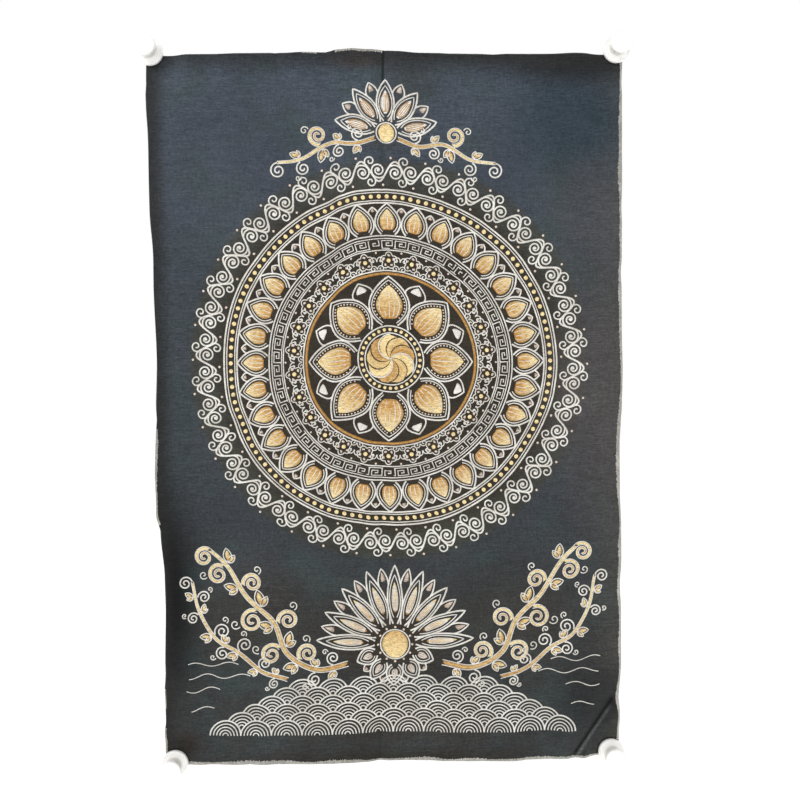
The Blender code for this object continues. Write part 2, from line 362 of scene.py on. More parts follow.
@dataclass
class Wiring:
    """Adds nodes to a node tree and joins them."""

    tree: bpy.types.NodeTree

    def add(self, kind: str, inputs: dict[str | int, Any] | None = None, **settings: Any) -> bpy.types.Node:
        """Add one node.

        Args:
            kind: the node's type name.
            inputs: a value or a socket to join for each input, by the input's name or number.
            **settings: the node's own options.

        Returns:
            The new node.
        """
        node = self.tree.nodes.new(kind)
        for name, value in settings.items():
            setattr(node, name, value)
        for key, value in (inputs or {}).items():
            if isinstance(value, Socket):
                self.tree.links.new(value, node.inputs[key])
            else:
                node.inputs[key].default_value = value
        return node

    def math(self, operation: str, *values: Any) -> Socket:
        """Add a Math node and give its result."""
        return self.add("ShaderNodeMath", dict(enumerate(values)), operation=operation).outputs[0]

    def vector(self, operation: str, *values: Any) -> Socket:
        """Add a Vector Math node and give its vector."""
        return self.add("ShaderNodeVectorMath", dict(enumerate(values)), operation=operation).outputs[0]

    def scaled(self, vector: Socket, factor: Socket) -> Socket:
        """Multiply a vector by a number."""
        return self.add("ShaderNodeVectorMath", {0: vector, "Scale": factor}, operation="SCALE").outputs[0]

    def point(self, **parts: Any) -> Socket:
        """Put a vector together from its X, Y and Z."""
        return self.add("ShaderNodeCombineXYZ", parts).outputs[0]

    def relief(self, shader: bpy.types.Node, height: Socket, strength: float, depth: float) -> None:
        """Let a height disturb a shader's normal."""
        bump = self.add("ShaderNodeBump", {"Height": height, "Strength": strength, "Distance": depth})
        self.tree.links.new(bump.outputs[0], shader.inputs["Normal"])

    def shape_of(self, thing: Socket) -> Socket:
        """Give an object's geometry as it stands."""
        node = self.add("GeometryNodeObjectInfo", {"Object": thing}, transform_space="ORIGINAL")
        return node.outputs["Geometry"]


# Shape of the hung cloth


@dataclass(frozen=True)
class HungForm:
    """The shape in which the cloth hangs, worked out for any place on the flat cloth."""

    width: float = 0.600
    height: float = 0.913
    thickness: float = 0.0012
    rest_gap: float = 0.0035
    least_gap: float = 0.0004
    pad_size: float = 0.031
    pad_ramp: float = 0.022
    pad_power: int = 4
    ripple: float = 0.0005
    ripple_length: float = 0.055
    ripple_layer: float = 0.37
    pucker: float = 0.00012
    pucker_length: float = 0.012
    pucker_layer: float = 2.11
    pucker_squeeze: float = 1.6

    @staticmethod
    def edge_out(table: tuple[Edge, ...], along: float) -> float:
        """Read an edge table, with soft waves between its rows.

        Args:
            table: the edge's rows in order.
            along: place along the edge.

        Returns:
            How far the edge stands out there.
        """
        for before, after in zip(table, table[1:]):
            if along <= after.along:
                share = smooth_step((along - before.along) / (after.along - before.along))
                return before.out + share * (after.out - before.out)
        return table[-1].out

    @staticmethod
    def fold_lift(fold: Fold, right: float, down: float) -> float:
        """Lift of one fold at a place on the cloth.

        Args:
            fold: the fold.
            right: place right of the centre line.
            down: place below the top edge.

        Returns:
            The lift off the wall.
        """
        run_right = fold.right_2 - fold.right_1
        run_down = fold.down_2 - fold.down_1
        length = math.hypot(run_right, run_down)
        from_right = right - fold.right_1
        from_down = down - fold.down_1
        along = (from_right * run_right + from_down * run_down) / length
        aside = (from_right * run_down - from_down * run_right) / length
        fade = 1.0 - smooth_step(max(-along, along - length, 0.0) / fold.run_out)
        return fold.lift * fade * math.exp(-((aside / fold.half_width) ** 2))

    @staticmethod
    def swell_lift(swell: Swell, right: float, down: float) -> float:
        """Lift of one broad swell at a place on the cloth.

        Args:
            swell: the swell.
            right: place right of the centre line.
            down: place below the top edge.

        Returns:
            The lift off the wall.
        """
        across = (right - swell.right) / swell.half_width
        upright = (down - swell.down) / swell.half_height
        return swell.lift * math.exp(-(across * across + upright * upright))

    def freedom(self, right: float, down: float) -> float:
        """0 on the flat pads under the knobs, rising to 1 away from all four corners.

        Args:
            right: place right of the centre line.
            down: place below the top edge.

        Returns:
            The share of its lift that the cloth has there.
        """
        from_side = self.width / 2 - abs(right)
        from_end = min(down, self.height - down)
        from_corner = (from_side**self.pad_power + from_end**self.pad_power) ** (1 / self.pad_power)
        return smooth_step((from_corner - self.pad_size) / self.pad_ramp)

    def fine_lift(self, right: float, down: float) -> float:
        """Lift of the small creases, the soft ripple and the pucker of the weave.

        Args:
            right: place right of the centre line.
            down: place below the top edge.

        Returns:
            The lift off the wall.
        """
        lift = sum(self.fold_lift(fold, right, down) for fold in FINE_FOLDS)
        soft = Vector((right, down, self.ripple_layer)) / self.ripple_length
        tight = Vector((right, down * self.pucker_squeeze, self.pucker_layer)) / self.pucker_length
        return lift + self.ripple * noise.noise(soft) + self.pucker * noise.noise(tight)

    def place(self, right: float, down: float) -> Vector:
        """Place of a point of the cloth's face once it hangs.

        Args:
            right: place right of the centre line.
            down: place below the top edge.

        Returns:
            The point, in metres.
        """
        share_right = 0.5 + right / self.width
        share_down = down / self.height
        left_out = self.edge_out(LEFT_EDGE, down)
        right_out = self.edge_out(RIGHT_EDGE, down)
        top_out = self.edge_out(TOP_EDGE, right)
        bottom_out = self.edge_out(BOTTOM_EDGE, right)
        x = right + share_right * right_out - (1.0 - share_right) * left_out
        z = (1.0 - share_down) * top_out - down - share_down * bottom_out
        lifted = self.rest_gap + sum(self.swell_lift(swell, right, down) for swell in SWELLS)
        lifted += sum(self.fold_lift(fold, right, down) for fold in MAIN_FOLDS)
        lifted += self.fine_lift(right, down)
        gap = self.freedom(right, down) * max(lifted, self.least_gap)
        return Vector((x, -gap - self.thickness, z))


@dataclass
class HungCloth:
    """The cloth panel: a fine grid on its folds, with its thickness behind it."""

    form: HungForm = field(default_factory=HungForm)
    cell: float = 0.0037
    margin_cells: int = 4
    crease_steps: tuple[float, ...] = (0.0011, 0.0023, 0.0040, 0.0065)
    sheet_thickness: float = 0.0011
    node: str = "cloth_panel"

    @property
    def margin(self) -> float:
        """How far the guide surface runs past every edge."""
        return self.margin_cells * self.cell

    def lines(self, start: float, end: float, margin_cells: int) -> list[float]:
        """Grid lines from edge to edge, closer together at the crease in the middle.

        Args:
            start: first edge.
            end: last edge.
            margin_cells: cells to add past both edges.

        Returns:
            The lines in order.
        """
        middle = (start + end) / 2
        near = self.crease_steps[-1]
        cells = round(((end - start) / 2 - near) / self.cell)
        step = ((end - start) / 2 - near) / cells
        outward = [near + step * index for index in range(1, cells + 1 + margin_cells)]
        half = [*self.crease_steps, *outward]
        return [middle - reach for reach in reversed(half)] + [middle] + [middle + reach for reach in half]

    def grid(self, name: str, margin_cells: int) -> bpy.types.Object:
        """Make the face of the hung cloth as an open grid with its flat places as UVs.

        Args:
            name: name of the object.
            margin_cells: cells that the grid runs past the cloth's edges.

        Returns:
            The object, linked to the scene.
        """
        form = self.form
        half_width = form.width / 2
        half_height = form.height / 2
        columns = self.lines(-half_width, half_width, margin_cells)
        rows = self.lines(0.0, form.height, margin_cells)
        mesh = bpy.data.meshes.new(name)
        grid = bmesh.new()
        bmesh.ops.create_grid(grid, x_segments=len(columns) - 1, y_segments=len(rows) - 1, size=0.5)
        flat: dict[bmesh.types.BMVert, tuple[float, float]] = {}
        for vert in grid.verts:
            column = columns[round((vert.co.x + 0.5) * (len(columns) - 1))]
            row = rows[round((0.5 - vert.co.y) * (len(rows) - 1))]
            lean = CENTRE_LEAN.start + row / form.height * (CENTRE_LEAN.end - CENTRE_LEAN.start)
            tilt = MIDDLE_LEAN.start + (0.5 + column / form.width) * (MIDDLE_LEAN.end - MIDDLE_LEAN.start)
            right = column + lean * smooth_step(1.0 - abs(column) / half_width)
            nearness = smooth_step(1.0 - abs(row - half_height) / half_height)
            down = row + (tilt - half_height) * nearness
            flat[vert] = (right, down)
            vert.co = form.place(right, down)
        uv_layer = grid.loops.layers.uv.new("flat_map")
        margin = self.margin
        for face in grid.faces:
            face.smooth = True
            for loop in face.loops:
                right, down = flat[loop.vert]
                across = (right + half_width + margin) / (form.width + 2 * margin)
                upward = (form.height + margin - down) / (form.height + 2 * margin)
                loop[uv_layer].uv = (across, upward)
        grid.to_mesh(mesh)
        grid.free()
        return linked(name, mesh)

    def guide(self) -> bpy.types.Object:
        """The surface that threads are laid on, a little larger than the cloth.

        Returns:
            The surface, hidden from renders.
        """
        surface = self.grid("guide_surface", self.margin_cells)
        surface.hide_render = True
        return surface

    def build(self, material: bpy.types.Material) -> bpy.types.Object:
        """Make the cloth with its thickness and its finish.

        Args:
            material: the brocade's ground.

        Returns:
            The finished panel.
        """
        panel = self.grid("brocade_panel", 0)
        panel.data.materials.append(material)
        solidify = panel.modifiers.new("thickness", "SOLIDIFY")
        solidify.thickness = self.sheet_thickness
        solidify.offset = -1.0
        return made_plain(panel)


def made_plain(thing: bpy.types.Object) -> bpy.types.Object:
    """Replace an object by a plain mesh of what its modifiers make.

    Args:
        thing: the object with its modifiers.

    Returns:
        A new object of the same name, with no modifiers.
    """
    depsgraph = bpy.context.evaluated_depsgraph_get()
    mesh = bpy.data.meshes.new_from_object(thing.evaluated_get(depsgraph))
    name = thing.name
    thing.name = name + "_source"
    mesh.name = name
    plain = linked(name, mesh)
    bpy.data.objects.remove(thing, do_unlink=True)
    return plain


# Flat drawings of the woven ornament, in millimetres


def polar(radius: float, degrees: float) -> Place:
    """A place by its distance and its angle, counted from the right and turning upwards."""
    return cmath.rect(radius, math.radians(degrees))


def mirror_image(places: list[Place]) -> list[Place]:
    """The same places on the other side of the centre line."""
    return [-place.conjugate() for place in places]


def arc(centre: Place, radius: float, start: float, end: float, step: float = 3.0) -> list[Place]:
    """Places along an arc from one angle to another, at most a step apart."""
    count = max(4, math.ceil(abs(math.radians(end - start)) * radius / step))
    return [centre + polar(radius, start + (end - start) * index / count) for index in range(count + 1)]


def ring(radius: float) -> list[Place]:
    """Places round a circle about 0, without the last one that would repeat the first."""
    return arc(0j, radius, 90.0, -270.0)[:-1]


def bezier(first: Place, first_pull: Place, last_pull: Place, last: Place, steps: int) -> list[Place]:
    """Places along a cubic curve.

    Args:
        first: where it starts.
        first_pull: the handle of its start.
        last_pull: the handle of its end.
        last: where it ends.
        steps: how many stretches it has.

    Returns:
        The places in order.
    """
    places = []
    for index in range(steps + 1):
        share = index / steps
        rest = 1.0 - share
        start_side = rest**3 * first + 3 * rest**2 * share * first_pull
        places.append(start_side + 3 * rest * share**2 * last_pull + share**3 * last)
    return places


def smooth_line(knots: list[Place], steps: int = 8) -> list[Place]:
    """Places along a soft line through given places.

    Args:
        knots: the places that it passes.
        steps: stretches between two of them.

    Returns:
        The places in order.
    """
    around = [2 * knots[0] - knots[1], *knots, 2 * knots[-1] - knots[-2]]
    places: list[Place] = []
    for before, start, end, after in zip(around, around[1:], around[2:], around[3:]):
        for index in range(steps):
            share = index / steps
            slope = (end - before) * share
            bend = (2 * before - 5 * start + 4 * end - after) * share**2
            swing = (3 * start - before - 3 * end + after) * share**3
            places.append(0.5 * (2 * start + slope + bend + swing))
    places.append(knots[-1])
    return places


def spiral(centre: Place, start: Place, turn: float, end_radius: float, step: float = 17.0) -> list[Place]:
    """Places along an even spiral that winds in round a centre.

    Args:
        centre: the spiral's eye.
        start: its outer end.
        turn: degrees that it turns, above zero for leftwards.
        end_radius: how near it comes to the eye.
        step: degrees between places.

    Returns:
        The places in order.
    """
    arm = start - centre
    radius = abs(arm)
    count = math.ceil(abs(turn) / step)
    places = []
    for index in range(count + 1):
        share = index / count
        length = radius + (end_radius - radius) * share
        places.append(centre + arm / radius * polar(length, turn * share))
    return places


def curl(root: Place, heading: float, side: int, radius: float, turn: float = 620.0) -> list[Place]:
    """Places along a curl that leaves a stem at a heading, leftwards for side 1, rightwards for -1."""
    centre = root + polar(radius, heading + 90.0 * side)
    return spiral(centre, root, side * turn, radius * 0.14)


class Stroke(NamedTuple):
    """A woven line."""

    places: list[Place]
    closed: bool
    width: float
    raised: bool


class Patch(NamedTuple):
    """A woven field between two lines that run the same way, shaded from 0, deep, to 1, pale."""

    left: list[Place]
    right: list[Place]
    shade_start: float
    shade_end: float
    shade_across: bool


class Bead(NamedTuple):
    """A woven round dot."""

    centre: Place
    radius: float
    shade: float


@dataclass
class Drawing:
    """Flat strokes, patches and beads, sorted by thread."""

    strokes: dict[Thread, list[Stroke]] = field(default_factory=dict)
    patches: dict[Thread, list[Patch]] = field(default_factory=dict)
    beads: dict[Thread, list[Bead]] = field(default_factory=dict)

    def line(
        self,
        places: list[Place],
        width: float = 1.0,
        closed: bool = False,
        raised: bool = False,
        thread: Thread = Thread.SILVER,
    ) -> None:
        """Draw a line, its width a share of a full thread line, raised where it crosses a field."""
        self.strokes.setdefault(thread, []).append(Stroke(places, closed, width, raised))

    def patch(
        self,
        left: list[Place],
        right: list[Place],
        shade: tuple[float, float] = (0.0, 1.0),
        across: bool = False,
        thread: Thread = Thread.GOLD,
    ) -> None:
        """Fill the field between two lines with equal counts of places, shaded along or across it."""
        self.patches.setdefault(thread, []).append(Patch(left, right, *shade, across))

    def bead(self, centre: Place, radius: float, shade: float = 0.9, thread: Thread = Thread.GOLD) -> None:
        """Draw a round dot."""
        self.beads.setdefault(thread, []).append(Bead(centre, radius, shade))

    def threads(self) -> list[Thread]:
        """The threads that it uses."""
        return [thread for thread in Thread if self.strokes.get(thread) or self.fields(thread)]

    def fields(self, thread: Thread) -> int:
        """How many patches and beads it has in one thread."""
        return len(self.patches.get(thread, [])) + len(self.beads.get(thread, []))

    def moved(self, shift: Place = 0j, turn: Place = 1 + 0j, mirrored: bool = False) -> "Drawing":
        """Copy it to another place.

        Args:
            shift: where its 0 goes.
            turn: a number of length 1 that turns it, or longer to make it larger.
            mirrored: whether it is turned over from left to right first.

        Returns:
            The copy.
        """

        def one(place: Place) -> Place:
            """Move one place."""
            return turn * (-place.conjugate() if mirrored else place) + shift

        return self.mapped(one, abs(turn))

    def bent(self, radius: float) -> "Drawing":
        """Bend its level line into an arc of a circle whose centre lies below it.

        Args:
            radius: the circle's radius.

        Returns:
            The bent copy.
        """

        def one(place: Place) -> Place:
            """Bend one place."""
            turned = 90.0 - math.degrees(place.real / radius)
            return polar(radius + place.imag, turned) - 1j * radius

        return self.mapped(one, 1.0)

    def mapped(self, one: Any, scale: float) -> "Drawing":
        """Copy it with every place moved by a function.

        Args:
            one: gives the new place for an old one.
            scale: how much larger its beads become.

        Returns:
            The copy.
        """
        copy = Drawing()
        for thread, strokes in self.strokes.items():
            for stroke in strokes:
                places = [one(place) for place in stroke.places]
                copy.line(places, stroke.width, stroke.closed, stroke.raised, thread)
        for thread, patches in self.patches.items():
            for patch in patches:
                left = [one(place) for place in patch.left]
                right = [one(place) for place in patch.right]
                copy.patch(left, right, (patch.shade_start, patch.shade_end), patch.shade_across, thread)
        for thread, beads in self.beads.items():
            for bead in beads:
                copy.bead(one(bead.centre), bead.radius * scale, bead.shade, thread)
        return copy

    def add(self, other: "Drawing") -> None:
        """Take in another drawing's marks.

        Args:
            other: the other drawing.
        """
        pairs = (
            (self.strokes, other.strokes),
            (self.patches, other.patches),
            (self.beads, other.beads),
        )
        for own, theirs in pairs:
            for thread, marks in theirs.items():
                own.setdefault(thread, []).extend(marks)

    def add_pair(self, other: "Drawing") -> None:
        """Take in another drawing and its mirror image across the centre line."""
        self.add(other)
        self.add(other.moved(mirrored=True))


def ribbon(middle: list[Place], start_width: float, end_width: float, shade: tuple[float, float]) -> Drawing:
    """A gold band with silver edges along a line.

    Args:
        middle: the line.
        start_width: the band's width where it starts.
        end_width: its width where it ends.
        shade: its shade where it starts and where it ends.

    Returns:
        The drawing.
    """
    drawing = Drawing()
    left: list[Place] = []
    right: list[Place] = []
    last = len(middle) - 1
    for index, place in enumerate(middle):
        ahead = middle[min(index + 1, last)] - middle[max(index - 1, 0)]
        half = (start_width + (end_width - start_width) * index / last) / 2
        across = ahead / abs(ahead) * 1j * half
        left.append(place + across)
        right.append(place - across)
    drawing.patch(left, right, shade)
    drawing.line(left, 0.55)
    drawing.line(right, 0.55)
    return drawing


@dataclass(frozen=True)
class LotusFan:
    """Lotus petals side by side round a centre at 0, with the tips of a second row behind them."""

    count: int
    inner: float
    outer: float
    first: float = 90.0
    last: float = -270.0
    closed: bool = True
    veins: int = 3
    line_gap: float = 3.2
    core_gap: float = 5.4
    behind: float = 0.975
    beaded: bool = False
    core: Thread = Thread.GOLD
    tip_core: Thread = Thread.ROSE

    @property
    def pitch(self) -> float:
        """Degrees from one petal to the next."""
        return abs(self.last - self.first) / (self.count if self.closed else self.count - 1)

    @property
    def length(self) -> float:
        """A petal's length."""
        return self.outer - self.inner

    def side(self, inset: float = 0.0) -> list[Place]:
        """Right side of a petal that stands straight up with its foot at 0, drawn in by an inset.

        Args:
            inset: how far it is drawn in.

        Returns:
            The places from foot to tip.
        """
        spread = math.tan(math.radians(self.pitch / 2))
        widest = (self.inner + 0.45 * self.length) * spread
        foot = complex(self.inner * spread * 0.55, 0.0)
        belly = complex(widest * 1.50, self.length * 0.38)
        neck = complex(widest * 0.52, self.length * 0.86)
        scale = 1.0 - inset / (widest * 0.9)
        rest = 0.40j * self.length * (1.0 - scale)
        return [place * scale + rest for place in bezier(foot, belly, neck, 1j * self.length, 14)]

    def petal(self) -> Drawing:
        """One front petal, with its foot at 0 and its tip straight up.

        Returns:
            The drawing.
        """
        drawing = Drawing()
        for inset, width in ((0.0, 1.0), (self.line_gap, 0.6)):
            right = self.side(inset)
            drawing.line(mirror_image(right) + right[-2::-1], width)
        core = self.side(self.core_gap)
        drawing.patch(mirror_image(core), core, thread=self.core)
        vein_thread = Thread.GOLD if self.core is Thread.SILVER else Thread.SILVER
        if self.veins:
            foot = core[0].imag
            reach = core[-1].imag - foot
            middle = [1j * (foot + reach * share) for share in (0.08, 0.42, 0.80)]
            drawing.line(middle, 0.5, raised=True, thread=vein_thread)
        for index in range(1, self.veins // 2 + 1):
            share = index / (self.veins // 2 + 1) * 1.08
            vein = [complex(place.real * share, place.imag) for place in core[1:-3]]
            drawing.line(vein, 0.45, raised=True, thread=vein_thread)
            drawing.line(mirror_image(vein), 0.45, raised=True, thread=vein_thread)
        if self.beaded:
            for place in self.side((self.line_gap + self.core_gap) / 2 + 0.4)[1:-1]:
                drawing.bead(place, 1.15, thread=Thread.ROSE)
                drawing.bead(-place.conjugate(), 1.15, thread=Thread.ROSE)
        return drawing

    def tip(self) -> Drawing:
        """The tip of a petal of the row behind, about the line between two front petals.

        Returns:
            The drawing.
        """
        drawing = Drawing()
        edge = self.side()[8] + 1j * self.inner
        gap = math.radians(self.pitch / 2) - math.atan2(edge.real, edge.imag)
        low = cmath.rect(abs(edge), math.pi / 2 - gap)
        top = self.outer * self.behind
        rise = top - low.imag
        for scale, width in ((1.0, 0.90), (0.62, 0.0)):
            start = complex(low.real * scale, low.imag + rise * (1.0 - scale) * 0.5)
            end = 1j * (top - rise * (1.0 - scale) * 0.5)
            climb = (end - start).imag
            pull = complex(start.real * 1.25, start.imag + climb * 0.42)
            right = bezier(start, pull, complex(start.real * 0.35, start.imag + climb * 0.85), end, 6)
            left = mirror_image(right)
            if width:
                drawing.line(left + right[-2::-1], width)
            else:
                drawing.patch(left, right, (0.2, 1.0), thread=self.tip_core)
        return drawing

    def motif(self) -> Drawing:
        """One front petal and the tip to the right of it, both seen from the centre's place at 0.

        Returns:
            The drawing.
        """
        drawing = self.petal().moved(1j * self.inner)
        drawing.add(self.tip().moved(turn=polar(1.0, -self.pitch / 2)))
        return drawing

    def draw(self) -> Drawing:
        """All petals, for a fan that isn't woven by repeating one.

        Returns:
            The drawing.
        """
        drawing = Drawing()
        way = 1.0 if self.last < self.first else -1.0
        for index in range(self.count):
            turn = polar(1.0, self.first - way * self.pitch * index - 90.0)
            drawing.add(self.petal().moved(1j * self.inner * turn, turn))
            if index < self.count - 1 or self.closed:
                drawing.add(self.tip().moved(turn=turn * polar(1.0, -way * self.pitch / 2)))
        return drawing


@dataclass(frozen=True)
class ScrollWave:
    """One wave of a running scroll: a winding stem with a curl in each of its two hollows."""

    pitch: float
    rise: float

    def stem(self, share: float) -> Place:
        """A place on the stem, by its share of the wave from the middle, -0.5 to 0.5."""
        return complex(share * self.pitch, self.rise * math.sin(2 * math.pi * share))

    def draw(self) -> Drawing:
        """The wave on a level line, with its middle at 0.

        Returns:
            The drawing.
        """
        drawing = Drawing()
        drawing.line([self.stem(index / 22 - 0.5) for index in range(23)], 1.10)
        eye = complex(self.pitch * 0.26, -self.rise * 0.10)
        inner_curl = spiral(eye, self.stem(0.06), -700.0, 1.3)
        lick_eye = complex(self.pitch * 0.51, self.rise * 1.02)
        lick = spiral(lick_eye, self.stem(0.38), -430.0, 1.2)
        for turn in (1, -1):
            drawing.line([turn * place for place in inner_curl], 0.95)
            drawing.line([turn * place for place in lick], 0.85)
            drawing.bead(turn * eye, 2.0, thread=Thread.SILVER)
            drawing.bead(turn * complex(self.pitch * 0.12, self.rise * 1.35), 1.7, thread=Thread.ROSE)
        return drawing


@dataclass(frozen=True)
class KeyFret:
    """One step of a key pattern on a level line."""

    pitch: float
    height: float
    corners: tuple[tuple[float, float], ...] = (
        (-1.0, 1.0), (-1.0, -1.0), (0.56, -1.0), (0.56, 0.34),
        (-0.36, 0.34), (-0.36, -0.34), (0.10, -0.34),
    )

    def draw(self) -> Drawing:
        """The step, with its middle at 0.

        Returns:
            The drawing.
        """
        half = self.pitch / 2
        low = -self.height / 2
        drawing = Drawing()
        drawing.line([complex(half * across, low * fall) for across, fall in self.corners], 0.70)
        drawing.line([complex(-half, low), complex(half, low)], 0.5)
        return drawing


@dataclass(frozen=True)
class Blossom:
    """A small round flower."""

    size: float
    petals: int = 5
    petal_rows: tuple[tuple[float, int], ...] = ((0.46, 16), (0.66, 24), (0.86, 12))

    def draw(self) -> Drawing:
        """The flower, with its middle at 0.

        Returns:
            The drawing.
        """
        drawing = Drawing()
        edge = []
        for angle in range(0, 360, 9):
            swell = abs(math.cos(math.radians(angle * self.petals / 2)))
            edge.append(polar(self.size * (0.72 + 0.30 * swell), 90.0 + angle))
        drawing.line(edge, 0.62, closed=True)
        for index in range(self.petals):
            angle = 90.0 + 360.0 / self.petals * index
            left = [polar(self.size * reach, angle - spread) for reach, spread in self.petal_rows]
            right = [polar(self.size * reach, angle + spread) for reach, spread in self.petal_rows]
            drawing.patch(left, right, (0.8, 1.0), thread=Thread.ROSE)
        drawing.bead(0j, self.size * 0.28)
        return drawing


@dataclass(frozen=True)
class Sprig:
    """Two pairs of small curls back to back."""

    size: float

    def draw(self) -> Drawing:
        """The sprig, upright, with its middle at 0.

        Returns:
            The drawing.
        """
        drawing = Drawing()
        for side in (-1, 1):
            for rise, lean, reach, turn in ((-1.0, 8.0, 0.42, 480.0), (-0.1, 20.0, 0.46, 420.0)):
                root = complex(side * 0.4, self.size * rise)
                drawing.line(curl(root, 90.0 + side * lean, -side, self.size * reach, turn), 0.6)
        drawing.bead(complex(0.0, self.size * 0.98), 1.5, thread=Thread.ROSE)
        return drawing


@dataclass(frozen=True)
class Whirl:
    """Commas that chase each other round a disc."""

    size: float
    arms: int = 3

    def edge(self, angle: float) -> list[Place]:
        """The line from the centre to the rim along which two commas meet.

        Args:
            angle: where it meets the rim.

        Returns:
            The places from the centre outward.
        """
        places = []
        for index in range(15):
            radius = self.size * math.sin(math.radians(90.0 * index / 14))
            places.append(polar(radius, angle + math.degrees(math.acos(radius / self.size))))
        return places

    def draw(self) -> Drawing:
        """The disc, with its middle at 0.

        Returns:
            The drawing.
        """
        drawing = Drawing()
        slices = 3
        for arm in range(self.arms):
            start = 90.0 + 360.0 / self.arms * arm
            drawing.line(self.edge(start), 0.8, raised=True)
            for part in range(slices):
                near = start + 360.0 / self.arms / slices * part
                far = near + 360.0 / self.arms / slices
                shades = (part / slices, (part + 1) / slices)
                drawing.patch(self.edge(near), self.edge(far), shades, across=True)
        return drawing


def seed_disc(size: float, rim_gap: float, deep: float) -> Drawing:
    """A gold disc inside a silver ring, its middle at 0.

    Args:
        size: the disc's radius.
        rim_gap: distance from the disc to its ring.
        deep: the shade of the disc's top.

    Returns:
        The drawing.
    """
    drawing = Drawing()
    circle = arc(0j, size, 90.0, 270.0, 3.6)
    drawing.patch(circle, mirror_image(circle), (deep, 1.0))
    drawing.line(ring(size + rim_gap), 0.8, closed=True)
    return drawing


def leaf(length: float, half_width: float) -> Drawing:
    """A gold leaf with a silver edge, its foot at 0 and its tip up.

    Args:
        length: its length.
        half_width: half its width.

    Returns:
        The drawing.
    """
    drawing = Drawing()
    tip = complex(half_width * 0.3, length)
    sides = []
    for pulls in (((-1.6, 0.3), (-0.9, 0.8)), ((1.3, 0.2), (1.5, 0.6))):
        first, last = (complex(half_width * across, length * up) for across, up in pulls)
        sides.append(bezier(0j, first, last, tip, 8))
    drawing.line(sides[0] + sides[1][-2::-1], 0.7)
    left, right = ([0.74 * place + 0.13j * length for place in side] for side in sides)
    drawing.patch(left, right, (0.1, 1.0))
    return drawing


class Shoot(NamedTuple):
    """A curl that leaves a stem at a share of its length, with a leaf on the other side."""

    share: float
    side: int
    radius: float


@dataclass(frozen=True)
class Vine:
    """A gold stem with curls and leaves on both sides."""

    knots: tuple[Place, ...]
    shoots: tuple[Shoot, ...]
    start_width: float = 5.0
    end_width: float = 3.0
    end_curl: float = 10.0
    banded_from: float = 11.5
    band_width: float = 4.4
    band_end: float = 1.8
    lick_size: float = 0.45
    lick_turn: float = 430.0
    leaf_length: float = 1.45
    leaf_width: float = 0.28
    leaf_leans: tuple[float, ...] = (42.0, 88.0)
    leaf_shrink: float = 0.7

    def add_curl(self, drawing: Drawing, places: list[Place], radius: float) -> None:
        """Draw a curl as a gold band where it is large, or as one line where it is small.

        Args:
            drawing: the drawing that takes it.
            places: the curl's line.
            radius: its outer radius.
        """
        if radius >= self.banded_from:
            drawing.add(ribbon(places, self.band_width, self.band_end, (1.0, 0.1)))
        else:
            drawing.line(places, 0.9)

    def draw(self) -> Drawing:
        """The vine where its knots put it.

        Returns:
            The drawing.
        """
        drawing = Drawing()
        stem = smooth_line(list(self.knots), 9)
        drawing.add(ribbon(stem, self.start_width, self.end_width, (0.15, 1.0)))
        heading = math.degrees(cmath.phase(stem[-1] - stem[-2]))
        self.add_curl(drawing, curl(stem[-1], heading, -1, self.end_curl), self.end_curl)
        for shoot in self.shoots:
            index = round(shoot.share * (len(stem) - 2))
            heading = math.degrees(cmath.phase(stem[index + 1] - stem[index]))
            root = stem[index] + polar(self.start_width * 0.6, heading + 90.0 * shoot.side)
            places = curl(root, heading + 12.0 * shoot.side, shoot.side, shoot.radius)
            self.add_curl(drawing, places, shoot.radius)
            lick_root = root + polar(shoot.radius * 0.9, heading + 60.0 * shoot.side)
            lick_root += polar(shoot.radius * 1.25, heading + 96.0 * shoot.side)
            lick_heading = heading + 100.0 * shoot.side
            lick_radius = shoot.radius * self.lick_size
            drawing.line(curl(lick_root, lick_heading, -shoot.side, lick_radius, self.lick_turn), 0.7)
            across = stem[index] + polar(self.start_width * 0.6, heading - 90.0 * shoot.side)
            length = shoot.radius * self.leaf_length
            for lean in self.leaf_leans:
                turn = polar(1.0, heading - 90.0 - shoot.side * lean)
                drawing.add(leaf(length, length * self.leaf_width).moved(across, turn))
                length *= self.leaf_shrink
        return drawing


# Weaving: flat drawings become threads on the hung cloth


